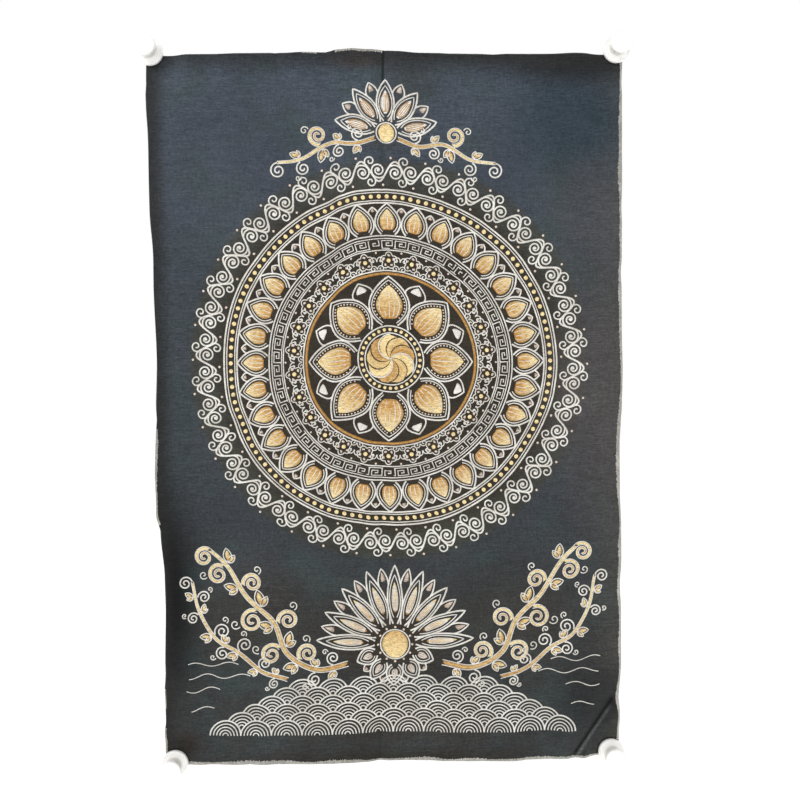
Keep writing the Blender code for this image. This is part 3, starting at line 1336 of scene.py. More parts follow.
@dataclass
class LieOnCloth:
    """A node group that lays flat geometry on the guide surface."""

    cloth: HungCloth

    def build(self) -> bpy.types.NodeTree:
        """Make the group.

        Returns:
            A group with the inputs Geometry, Guide and Lift.
        """
        form = self.cloth.form
        margin = self.cloth.margin
        tree = new_tree("lie_on_cloth", {"Guide": "Object", "Lift": "Float"})
        wiring = Wiring(tree)
        given = wiring.add("NodeGroupInput").outputs
        flat = wiring.add("GeometryNodeInputPosition")
        parts = wiring.add("ShaderNodeSeparateXYZ", {0: flat.outputs[0]}).outputs
        across = wiring.math("ADD", parts["X"], form.width / 2 + margin)
        upward = wiring.math("ADD", parts["Y"], form.height + margin)
        spot = wiring.point(
            X=wiring.math("DIVIDE", across, form.width + 2 * margin),
            Y=wiring.math("DIVIDE", upward, form.height + 2 * margin),
        )
        uv = wiring.add("GeometryNodeInputNamedAttribute", {"Name": "flat_map"}, data_type="FLOAT_VECTOR")
        source = {
            "Mesh": wiring.shape_of(given["Guide"]),
            "UV Map": uv.outputs["Attribute"],
            "Sample UV": spot,
        }
        readings = []
        for kind in ("GeometryNodeInputPosition", "GeometryNodeInputNormal"):
            inputs = {**source, "Value": wiring.add(kind).outputs[0]}
            sample = wiring.add("GeometryNodeSampleUVSurface", inputs, data_type="FLOAT_VECTOR")
            readings.append(sample.outputs["Value"])
        height = wiring.math("ADD", parts["Z"], given["Lift"])
        final = wiring.vector("ADD", readings[0], wiring.scaled(readings[1], height))
        laid = wiring.add("GeometryNodeSetPosition", {"Geometry": given["Geometry"], "Position": final})
        wiring.add("NodeGroupOutput", {0: laid.outputs[0]})
        return tree


def new_tree(name: str, inputs: dict[str, str]) -> bpy.types.NodeTree:
    """Make a Geometry Nodes tree that takes and gives geometry.

    Args:
        name: the tree's name.
        inputs: the kind of each further input, by its name.

    Returns:
        The tree.
    """
    tree = bpy.data.node_groups.new(name, "GeometryNodeTree")
    tree.interface.new_socket("Geometry", in_out="INPUT", socket_type="NodeSocketGeometry")
    for label, kind in inputs.items():
        tree.interface.new_socket(label, in_out="INPUT", socket_type="NodeSocket" + kind)
    tree.interface.new_socket("Geometry", in_out="OUTPUT", socket_type="NodeSocketGeometry")
    return tree


def finish_tree(wiring: Wiring, placed: bpy.types.Node, given: Any, lay: bpy.types.NodeTree) -> None:
    """End a tree: its instances are made real, laid on the cloth, smoothed and dressed.

    Args:
        wiring: the tree's wiring.
        placed: the node that gives the instances.
        given: the tree's inputs.
        lay: the group that lays flat geometry on the cloth.
    """
    real = wiring.add("GeometryNodeRealizeInstances", {"Geometry": placed.outputs[0]})
    where = {name: given[name] for name in ("Guide", "Lift") if name in given}
    laid = wiring.add("GeometryNodeGroup", {"Geometry": real.outputs[0], **where}, node_tree=lay)
    smooth = wiring.add("GeometryNodeSetShadeSmooth", {"Geometry": laid.outputs[0]})
    finish = {"Geometry": smooth.outputs[0], "Material": given["Finish"]}
    dressed = wiring.add("GeometryNodeSetMaterial", finish)
    wiring.add("NodeGroupOutput", {0: dressed.outputs[0]})


def run_tree(name: str, tree: bpy.types.NodeTree, values: dict[str, Any]) -> bpy.types.Object:
    """Run a tree on an empty mesh and keep what it makes as a plain mesh.

    Args:
        name: name of the new object.
        tree: the tree.
        values: a value for each of its inputs, by name.

    Returns:
        The object.
    """
    host = linked(name, bpy.data.meshes.new(name))
    modifier = host.modifiers.new("woven", "NODES")
    modifier.node_group = tree
    for socket in tree.interface.items_tree:
        if socket.in_out == "INPUT" and socket.name in values:
            modifier[socket.identifier] = values[socket.name]
    return made_plain(host)


REPEAT_INPUTS = {
    "Guide": "Object",
    "Motif": "Object",
    "Count": "Int",
    "Radius": "Float",
    "Start": "Float",
    "Centre": "Vector",
    "Lift": "Float",
    "Line width": "Float",
    "Line height": "Float",
    "Finish": "Material",
}


@dataclass
class Loom:
    """Weaves flat drawings as raised threads that lie on the hung cloth."""

    cloth: HungCloth
    finishes: dict[Thread, bpy.types.Material]
    line_width: float = 0.0023
    line_height: float = 0.00042
    field_height: float = 0.22
    field_sunk: float = 0.15
    raised_by: float = 0.20
    lift: float = 0.00006
    column_width: float = 5.0
    bead_sides: int = 10
    pieces: list[bpy.types.Object] = field(default_factory=list)

    def __post_init__(self) -> None:
        """Make the guide surface and the two trees."""
        self.surface = self.cloth.guide()
        self.lay = LieOnCloth(self.cloth).build()
        self.line_tree = self.repeat_tree("woven_lines", True)
        self.field_tree = self.repeat_tree("woven_fields", False)

    def repeat_tree(self, name: str, lines: bool) -> bpy.types.NodeTree:
        """Make the tree that sets a motif round a circle, or once, and lays it on the cloth.

        Args:
            name: the tree's name.
            lines: whether the motif is a curve that becomes thread, and not a mesh.

        Returns:
            The tree.
        """
        tree = new_tree(name, REPEAT_INPUTS)
        wiring = Wiring(tree)
        given = wiring.add("NodeGroupInput").outputs
        shape = wiring.shape_of(given["Motif"])
        if lines:
            shape = self.thread_mesh(wiring, shape, given)
        index = wiring.add("GeometryNodeInputIndex").outputs[0]
        step = wiring.math("DIVIDE", math.tau, given["Count"])
        angle = wiring.math("SUBTRACT", given["Start"], wiring.math("MULTIPLY", index, step))
        around = wiring.point(
            X=wiring.math("MULTIPLY", wiring.math("COSINE", angle), given["Radius"]),
            Y=wiring.math("MULTIPLY", wiring.math("SINE", angle), given["Radius"]),
        )
        place = wiring.vector("ADD", around, given["Centre"])
        points = wiring.add("GeometryNodePoints", {"Count": given["Count"], "Position": place})
        turned = wiring.point(Z=wiring.math("SUBTRACT", angle, math.pi / 2))
        rotation = wiring.add("FunctionNodeEulerToRotation", {"Euler": turned})
        placing = {"Points": points.outputs[0], "Instance": shape, "Rotation": rotation.outputs[0]}
        placed = wiring.add("GeometryNodeInstanceOnPoints", placing)
        finish_tree(wiring, placed, given, self.lay)
        return tree

    @staticmethod
    def thread_mesh(wiring: Wiring, lines: Socket, given: Any) -> Socket:
        """Give flat lines the low pointed section of a woven thread line.

        Args:
            wiring: the tree's wiring.
            lines: the flat lines.
            given: the tree's inputs.

        Returns:
            The lines as a mesh.
        """
        level = wiring.add("GeometryNodeSetCurveNormal", {"Curve": lines}, mode="Z_UP")
        half_width = wiring.math("MULTIPLY", given["Line width"], 0.5)
        half_height = wiring.math("MULTIPLY", given["Line height"], 0.5)
        size = wiring.point(X=half_width, Y=half_height, Z=1.0)
        section = wiring.add("GeometryNodeCurvePrimitiveCircle", {"Resolution": 4, "Radius": 1.0})
        flattened = wiring.add("GeometryNodeTransform", {"Geometry": section.outputs[0], "Scale": size})
        sweep = {
            "Curve": level.outputs[0],
            "Profile Curve": flattened.outputs[0],
            "Scale": wiring.add("GeometryNodeInputRadius").outputs[0],
            "Fill Caps": True,
        }
        return wiring.add("GeometryNodeCurveToMesh", sweep).outputs[0]

    def line_motif(self, strokes: list[Stroke]) -> bpy.types.Object:
        """Make a flat curve object of a drawing's lines.

        Args:
            strokes: the lines.

        Returns:
            The object, in metres.
        """
        runs = []
        for stroke in strokes:
            level = self.raised_by if stroke.raised else 0.0
            points = [(place.real * MM, place.imag * MM, level * MM) for place in stroke.places]
            runs.append((points, stroke.closed, stroke.width))
        return poly_curve("line_motif", runs)

    def field_motif(self, patches: list[Patch], beads: list[Bead]) -> bpy.types.Object:
        """Make a flat mesh object of low closed cushions, one for each patch and bead.

        Args:
            patches: the fields.
            beads: the dots.

        Returns:
            The object, in metres, with a shade for each point.
        """
        grid = bmesh.new()
        shade = grid.verts.layers.float.new("shade")
        for patch in patches:
            self.add_patch(grid, shade, patch)
        for bead in beads:
            self.add_bead(grid, shade, bead)
        mesh = bpy.data.meshes.new("field_motif")
        bmesh.ops.remove_doubles(grid, verts=grid.verts, dist=0.00002)
        bmesh.ops.recalc_face_normals(grid, faces=grid.faces)
        grid.to_mesh(mesh)
        grid.free()
        return linked("field_motif", mesh)

    def add_patch(self, grid: bmesh.types.BMesh, shade: Any, patch: Patch) -> None:
        """Add one patch to a mesh.

        Args:
            grid: the mesh.
            shade: its shade layer.
            patch: the patch.
        """
        widest = max(abs(left - right) for left, right in zip(patch.left, patch.right))
        columns = max(2, math.ceil(widest / self.column_width))
        last = min(len(patch.left), len(patch.right)) - 1
        layers = []
        for top in (True, False):
            rows = []
            for index in range(last + 1):
                row = []
                for column in range(columns + 1):
                    share = column / columns
                    place = patch.left[index] + share * (patch.right[index] - patch.left[index])
                    rim = index in (0, last) or column in (0, columns)
                    height = -self.field_sunk if rim or not top else self.field_height
                    vert = grid.verts.new((place.real * MM, place.imag * MM, height * MM))
                    tone = share if patch.shade_across else index / last
                    vert[shade] = patch.shade_start + (patch.shade_end - patch.shade_start) * tone
                    row.append(vert)
                rows.append(row)
            layers.append(rows)
        for rows in layers:
            for lower, upper in zip(rows, rows[1:]):
                for column in range(columns):
                    corners = (lower[column], lower[column + 1], upper[column + 1], upper[column])
                    grid.faces.new(corners)

    def add_bead(self, grid: bmesh.types.BMesh, shade: Any, bead: Bead) -> None:
        """Add one low dome to a mesh.

        Args:
            grid: the mesh.
            shade: its shade layer.
            bead: the dot.
        """
        rings = []
        for share, height in ((1.0, -self.field_sunk), (0.72, self.field_height * 0.9)):
            row = []
            for index in range(self.bead_sides):
                place = bead.centre + polar(bead.radius * share, 360.0 / self.bead_sides * index)
                row.append(grid.verts.new((place.real * MM, place.imag * MM, height * MM)))
            rings.append(row)
        top = grid.verts.new((bead.centre.real * MM, bead.centre.imag * MM, self.field_height * 1.3 * MM))
        low = grid.verts.new((bead.centre.real * MM, bead.centre.imag * MM, -self.field_sunk * MM))
        for vert in (*rings[0], *rings[1], top, low):
            vert[shade] = bead.shade
        for index in range(self.bead_sides):
            after = (index + 1) % self.bead_sides
            grid.faces.new((rings[0][index], rings[0][after], rings[1][after], rings[1][index]))
            grid.faces.new((rings[1][index], rings[1][after], top))
            grid.faces.new((rings[0][after], rings[0][index], low))

    def weave(
        self,
        name: str,
        drawing: Drawing,
        centre: Place = 0j,
        radius: float = 0.0,
        count: int = 1,
        start: float = 90.0,
    ) -> None:
        """Weave a drawing once, or again and again round a circle.

        Args:
            name: first part of the pieces' names.
            drawing: the flat drawing, whose 0 goes on the circle.
            centre: the circle's centre.
            radius: its radius.
            count: how many times the drawing is woven.
            start: the angle of the first one.
        """
        values = {
            "Guide": self.surface,
            "Count": count,
            "Radius": radius * MM,
            "Start": math.radians(start),
            "Centre": (centre.real * MM, centre.imag * MM, 0.0),
            "Lift": self.lift,
            "Line width": self.line_width,
            "Line height": self.line_height,
        }
        for thread in drawing.threads():
            values["Finish"] = self.finishes[thread]
            motifs = []
            if drawing.strokes.get(thread):
                motifs.append(("lines", self.line_tree, self.line_motif(drawing.strokes[thread])))
            if drawing.fields(thread):
                fields = self.field_motif(drawing.patches.get(thread, []), drawing.beads.get(thread, []))
                motifs.append(("fields", self.field_tree, fields))
            for kind, tree, motif in motifs:
                self.keep(f"{name}_{thread.value}_{kind}", tree, {**values, "Motif": motif}, (motif,))

    def keep(self, name: str, tree: bpy.types.NodeTree, values: dict[str, Any], used: tuple) -> None:
        """Run one tree and keep its piece.

        Args:
            name: name of the piece.
            tree: the tree.
            values: its inputs.
            used: the objects that it was made from, which are removed.
        """
        piece = run_tree(name, tree, values)
        for thing in used:
            bpy.data.objects.remove(thing, do_unlink=True)
        self.pieces.append(piece)
        log.info("%s: %d faces", name, len(piece.data.polygons))

    def put_away(self) -> None:
        """Remove the guide surface once everything is woven."""
        bpy.data.objects.remove(self.surface, do_unlink=True)


# The ornament's sub-assemblies


@dataclass(frozen=True)
class GreatRoundel:
    """The round ornament in the middle, built from rings about one centre."""

    centre: Place = -387j
    scroll_radius: float = 237.0
    scroll_count: int = 36
    scroll_rise: float = 12.5
    pearl_radius: float = 205.5
    pearl_count: int = 128
    pearl_size: float = 3.0
    petals: LotusFan = LotusFan(32, 158.0, 197.0, veins=3, core_gap=4.8)
    fret_radius: float = 145.5
    fret_count: int = 54
    fret_height: float = 9.6
    flower_radius: float = 125.0
    flower_count: int = 26
    flower_size: float = 10.6
    wheel: LotusFan = LotusFan(
        8, 43.0, 105.0, veins=5, line_gap=3.4, core_gap=7.8, beaded=True, tip_core=Thread.SILVER
    )
    eye_pearl_radius: float = 37.6
    eye_pearl_count: int = 32
    hub_size: float = 31.5
    rims: tuple[tuple[float, float], ...] = (
        (214.0, 1.0), (210.6, 0.6), (200.4, 0.6), (197.6, 0.9), (156.4, 0.8),
        (152.8, 0.6), (138.2, 0.7), (112.4, 0.8), (42.2, 0.8), (33.2, 0.7),
    )
    gold_rim: float = 108.6
    gold_rim_width: float = 1.5

    def draw_rims(self) -> Drawing:
        """All the plain rings.

        Returns:
            The drawing.
        """
        drawing = Drawing()
        for radius, width in self.rims:
            drawing.line(ring(radius), width, closed=True)
        drawing.line(ring(self.gold_rim), self.gold_rim_width, closed=True, thread=Thread.GOLD)
        return drawing

    def scroll_motif(self) -> Drawing:
        """One wave of the outer running scroll, bent to its circle."""
        pitch = math.tau * self.scroll_radius / self.scroll_count
        return ScrollWave(pitch, self.scroll_rise).draw().bent(self.scroll_radius)

    def fret_motif(self) -> Drawing:
        """One step of the key pattern, bent to its circle."""
        pitch = math.tau * self.fret_radius / self.fret_count
        return KeyFret(pitch, self.fret_height).draw().bent(self.fret_radius)

    def build(self, loom: Loom) -> None:
        """Weave the roundel.

        Args:
            loom: the loom that weaves it.
        """
        loom.weave("roundel_rims", self.draw_rims().moved(self.centre))
        loom.weave("scroll_band", self.scroll_motif(), self.centre, self.scroll_radius, self.scroll_count)
        pearl = Drawing()
        pearl.bead(0j, self.pearl_size)
        loom.weave("pearl_band", pearl, self.centre, self.pearl_radius, self.pearl_count)
        loom.weave("petal_band", self.petals.motif(), self.centre, 0.0, self.petals.count)
        loom.weave("fret_band", self.fret_motif(), self.centre, self.fret_radius, self.fret_count)
        flower = Blossom(self.flower_size).draw()
        loom.weave("flower_band", flower, self.centre, self.flower_radius, self.flower_count)
        between = 90.0 + 180.0 / self.flower_count
        sprig = Sprig(self.flower_size).draw()
        loom.weave("sprig_band", sprig, self.centre, self.flower_radius, self.flower_count, between)
        loom.weave("petal_wheel", self.wheel.motif(), self.centre, 0.0, self.wheel.count)
        eye_pearl = Drawing()
        eye_pearl.bead(0j, self.pearl_size * 0.8)
        loom.weave("eye_pearls", eye_pearl, self.centre, self.eye_pearl_radius, self.eye_pearl_count)
        loom.weave("hub_whirl", Whirl(self.hub_size).draw().moved(self.centre))


@dataclass(frozen=True)
class Crest:
    """The small lotus with a vine on each side, above the roundel."""

    centre: Place = -102j
    petals: LotusFan = LotusFan(
        5, 15.0, 66.0, 166.0, 14.0, closed=False, veins=5, line_gap=2.8, core_gap=4.8, core=Thread.SILVER
    )
    seed_size: float = 11.5
    vine: Vine = Vine(
        (14 - 7j, 42 - 15j, 74 - 12j, 106 - 30j, 138 - 34j),
        (Shoot(0.20, 1, 8.5), Shoot(0.40, -1, 8.0), Shoot(0.56, 1, 12.0), Shoot(0.80, -1, 9.0)),
    )

    def build(self, loom: Loom) -> None:
        """Weave the crest.

        Args:
            loom: the loom that weaves it.
        """
        drawing = self.petals.draw()
        drawing.add(seed_disc(self.seed_size, 1.2, 0.5))
        drawing.add_pair(self.vine.draw())
        loom.weave("crest", drawing.moved(self.centre))


@dataclass(frozen=True)
class LowerLotus:
    """The open lotus under the roundel, seen from its side."""

    centre: Place = -758j
    petals: LotusFan = LotusFan(
        9, 27.0, 104.0, 174.0, 6.0, closed=False, veins=5, line_gap=2.8, core_gap=4.8
    )
    sepals: LotusFan = LotusFan(5, 27.0, 54.0, -22.0, -158.0, closed=False, veins=3, core=Thread.ROSE)
    seed_size: float = 18.0

    def build(self, loom: Loom) -> None:
        """Weave the lotus.

        Args:
            loom: the loom that weaves it.
        """
        drawing = self.petals.draw()
        drawing.add(self.sepals.draw())
        drawing.add(seed_disc(self.seed_size, 1.3, 0.2))
        for index in range(12):
            drawing.bead(polar(self.seed_size + 4.6, 30.0 * index), 1.7, thread=Thread.ROSE)
        loom.weave("lower_lotus", drawing.moved(self.centre))


@dataclass(frozen=True)
class Sprays:
    """The two vines that rise from the lower lotus beside the roundel."""

    vine: Vine = Vine(
        (62 - 780j, 104 - 786j, 142 - 764j, 160 - 722j, 194 - 690j, 218 - 650j, 240 - 628j),
        (
            Shoot(0.07, 1, 9.0),
            Shoot(0.17, -1, 9.5),
            Shoot(0.27, 1, 13.0),
            Shoot(0.38, -1, 14.0),
            Shoot(0.49, 1, 13.5),
            Shoot(0.61, -1, 15.0),
            Shoot(0.73, 1, 12.5),
            Shoot(0.86, -1, 13.0),
        ),
        start_width=7.0,
        end_width=4.0,
        end_curl=12.0,
    )
    low_vine: Vine = Vine(
        (140 - 799j, 176 - 787j, 206 - 762j, 236 - 744j, 258 - 706j, 266 - 668j),
        (
            Shoot(0.10, -1, 7.0),
            Shoot(0.22, 1, 8.5),
            Shoot(0.40, 1, 10.0),
            Shoot(0.52, -1, 9.0),
            Shoot(0.64, 1, 10.5),
            Shoot(0.80, -1, 8.0),
            Shoot(0.90, 1, 8.5),
        ),
        start_width=5.0,
        end_width=3.0,
        end_curl=9.0,
    )

    def build(self, loom: Loom) -> None:
        """Weave both sprays.

        Args:
            loom: the loom that weaves them.
        """
        drawing = Drawing()
        for vine in (self.vine, self.low_vine):
            drawing.add_pair(vine.draw())
        loom.weave("sprays", drawing)


@dataclass(frozen=True)
class Waves:
    """Rows of overlapping scallops at the foot of the ornament, with thin ripples beside them."""

    top: float = -819.0
    rows: int = 6
    radius: float = 20.0
    first_half_width: float = 120.0
    row_growth: float = 26.0
    widest: float = 236.0
    row_rise: float = 0.55
    covered: float = 0.99
    shares: tuple[float, ...] = (1.0, 0.78, 0.57, 0.37, 0.18)
    ripple_rise: float = 3.0
    ripple_length: float = 46.0
    ripple_steps: int = 24
    ripples: tuple[tuple[Place, float], ...] = (
        (206 - 778j, 66.0),
        (190 - 794j, 80.0),
        (228 - 812j, 44.0),
        (236 - 838j, 30.0),
    )

    def hidden(self, place: Place, centre: Place, row: int) -> bool:
        """Whether a scallop of a row in front covers a place.

        Args:
            place: the place.
            centre: the centre of the scallop that it belongs to.
            row: that scallop's row.

        Returns:
            True where it is covered.
        """
        rise = self.radius * self.row_rise
        reach = self.radius * self.covered
        in_front = []
        if row < self.rows - 1:
            in_front += [centre + complex(side * self.radius, -rise) for side in (-1, 1)]
        if row < self.rows - 2:
            in_front.append(centre - 2j * rise)
        return any(abs(place - other) < reach for other in in_front)

    def scallop(self, drawing: Drawing, centre: Place, row: int) -> None:
        """Draw what shows of one scallop.

        Args:
            drawing: the drawing that takes it.
            centre: the scallop's centre.
            row: its row.
        """
        for share in self.shares:
            width = 0.95 if share == 1.0 else 0.7
            run: list[Place] = []
            for place in [*arc(centre, self.radius * share, 0.0, 180.0, 2.0), None]:
                if place is not None and not self.hidden(place, centre, row):
                    run.append(place)
                    continue
                if len(run) > 2:
                    drawing.line(run, width)
                run = []

    def build(self, loom: Loom) -> None:
        """Weave the waves and the ripples.

        Args:
            loom: the loom that weaves them.
        """
        drawing = Drawing()
        for row in range(self.rows):
            half_width = min(self.first_half_width + row * self.row_growth, self.widest)
            count = int(half_width // self.radius)
            for index in range(-count, count + 1):
                if (index + row) % 2 == 0:
                    height = self.top - row * self.radius * self.row_rise
                    centre = complex(index * self.radius, height)
                    self.scallop(drawing, centre, row)
        side = Drawing()
        for start, length in self.ripples:
            places = []
            for index in range(self.ripple_steps + 1):
                along = length * index / self.ripple_steps
                rise = self.ripple_rise * math.sin(math.tau * along / self.ripple_length)
                places.append(start + complex(along, rise))
            side.line(places, 0.5)
        drawing.add_pair(side)
        loom.weave("waves", drawing)


# Edge stitching


class EdgeRun(NamedTuple):
    """A stretch of the panel's outline, clockwise from one corner place to another."""

    name: str
    corners: tuple[tuple[float, float], ...]
    reach: float
    pale: bool


STITCH_INPUTS = {
    "Guide": "Object",
    "Path": "Object",
    "Stitch": "Object",
    "Pitch": "Float",
    "Yarn": "Float",
    "Seed": "Int",
    "Finish": "Material",
}


@dataclass(frozen=True)
class EdgeStitching:
    """The oversewn edge: short yarns looped round the cloth's rim all the way along."""

    form: HungForm
    pitch: float = 0.0015
    yarn: float = 0.00058
    out: float = 0.0003
    back_reach: float = 0.0026
    front_height: float = 0.00022
    flatness: float = 0.45
    least_size: tuple[float, float, float] = (0.85, 0.80, 1.0)
    most_size: tuple[float, float, float] = (1.15, 1.12, 1.0)
    drift_scale: float = 16.0
    drift_blend: Blend = Blend(0.30, 0.70, 0.62, 1.34)

    def runs(self) -> tuple[EdgeRun, ...]:
        """The stretches of the outline, as they show.

        Returns:
            The stretches, clockwise.
        """
        half = self.form.width / 2
        foot = self.form.height
        return (
            EdgeRun("right_and_bottom", ((half, 0.004), (half, foot), (-half, foot)), 0.0040, True),
            EdgeRun("foot_of_left", ((-half, foot - 0.001), (-half, 0.861)), 0.0030, True),
            EdgeRun("low_left", ((-half, 0.860), (-half, 0.835)), 0.0010, False),
            EdgeRun("thin_left", ((-half, 0.834), (-half, 0.808)), 0.0013, True),
            EdgeRun("shaded_left", ((-half, 0.807), (-half, 0.592)), 0.0010, False),
            EdgeRun("middle_of_left", ((-half, 0.591), (-half, 0.470)), 0.0025, True),
            EdgeRun("upper_left", ((-half, 0.468), (-half, 0.0)), 0.0010, False),
            EdgeRun("top_left", ((-half, 0.0), (-0.105, 0.0)), 0.0010, False),
            EdgeRun("top_fleck", ((-0.104, 0.0), (-0.087, 0.0)), 0.0018, True),
            EdgeRun("top_between", ((-0.086, 0.0), (-0.064, 0.0)), 0.0010, False),
            EdgeRun("top_middle", ((-0.063, 0.0), (-0.005, 0.0)), 0.0028, True),
            EdgeRun("top_right", ((-0.003, 0.0), (half, 0.0)), 0.0010, False),
        )

    def path(self, run: EdgeRun) -> bpy.types.Object:
        """The flat line of one stretch, as a curve object."""
        return poly_curve("edge_path", [([(right, -down, 0.0) for right, down in run.corners], False, 1.0)])

    def stitch(self, reach: float) -> bpy.types.Object:
        """The middle line of one stitch, round the rim from front to back, outward along +Y.

        Args:
            reach: how far it reaches in on the face.

        Returns:
            The line as a curve object.
        """
        back = 0.0001 - self.form.thickness
        places = (
            (0.0, -reach, -0.0001),
            (0.0001, -reach + 0.0004, self.front_height),
            (0.0003, -0.0001, self.front_height),
            (0.0004, self.out, back / 2),
            (0.0003, -0.0001, back),
            (0.0, -self.back_reach, back),
        )
        return poly_curve("stitch", [(places, False, 1.0)])

    def tree(self, lay: bpy.types.NodeTree) -> bpy.types.NodeTree:
        """Make the tree that sets stitches along a path.

        Args:
            lay: the group that lays flat geometry on the cloth.

        Returns:
            The tree.
        """
        tree = new_tree("edge_stitches", STITCH_INPUTS)
        wiring = Wiring(tree)
        given = wiring.add("NodeGroupInput").outputs
        line = {"Curve": wiring.shape_of(given["Path"]), "Length": given["Pitch"]}
        points = wiring.add("GeometryNodeCurveToPoints", line, mode="LENGTH")
        tangent = {"Vector": points.outputs["Tangent"]}
        turned = wiring.add("FunctionNodeAlignRotationToVector", tangent, axis="X", pivot_axis="Z")
        circle = wiring.add("GeometryNodeCurvePrimitiveCircle", {"Resolution": 4, "Radius": given["Yarn"]})
        flat = {"Geometry": circle.outputs[0], "Scale": (1.0, self.flatness, 1.0)}
        section = wiring.add("GeometryNodeTransform", flat)
        single = {"Curve": wiring.shape_of(given["Stitch"])}
        level = wiring.add("GeometryNodeSetCurveNormal", single, mode="MINIMUM_TWIST")
        sweep = {"Curve": level.outputs[0], "Profile Curve": section.outputs[0], "Fill Caps": True}
        swept = wiring.add("GeometryNodeCurveToMesh", sweep)
        spread = wiring.add("FunctionNodeRandomValue", {"Seed": given["Seed"]}, data_type="FLOAT_VECTOR")
        spread.inputs["Min"].default_value = self.least_size
        spread.inputs["Max"].default_value = self.most_size
        where = wiring.add("GeometryNodeInputPosition").outputs[0]
        waves = {"Vector": where, "Scale": self.drift_scale, "Detail": 1.0}
        drift = wiring.add("ShaderNodeTexNoise", waves).outputs[0]
        stretch = wiring.point(X=1.0, Y=ranged(wiring, drift, *self.drift_blend), Z=1.0)
        placing = {
            "Points": points.outputs[0],
            "Instance": swept.outputs[0],
            "Rotation": turned.outputs[0],
            "Scale": wiring.vector("MULTIPLY", spread.outputs[0], stretch),
        }
        finish_tree(wiring, wiring.add("GeometryNodeInstanceOnPoints", placing), given, lay)
        return tree

    def build(self, loom: Loom, pale: bpy.types.Material, dark: bpy.types.Material) -> None:
        """Stitch the whole outline.

        Args:
            loom: the loom, which has the guide surface.
            pale: finish of the pale yarn.
            dark: finish of the dark yarn.
        """
        tree = self.tree(loom.lay)
        for seed, run in enumerate(self.runs(), start=7):
            path = self.path(run)
            stitch = self.stitch(run.reach)
            values = {
                "Guide": loom.surface,
                "Path": path,
                "Stitch": stitch,
                "Pitch": self.pitch,
                "Yarn": self.yarn,
                "Seed": seed,
                "Finish": pale if run.pale else dark,
            }
            loom.keep(f"edge_stitches_{run.name}", tree, values, (path, stitch))


# Knobs


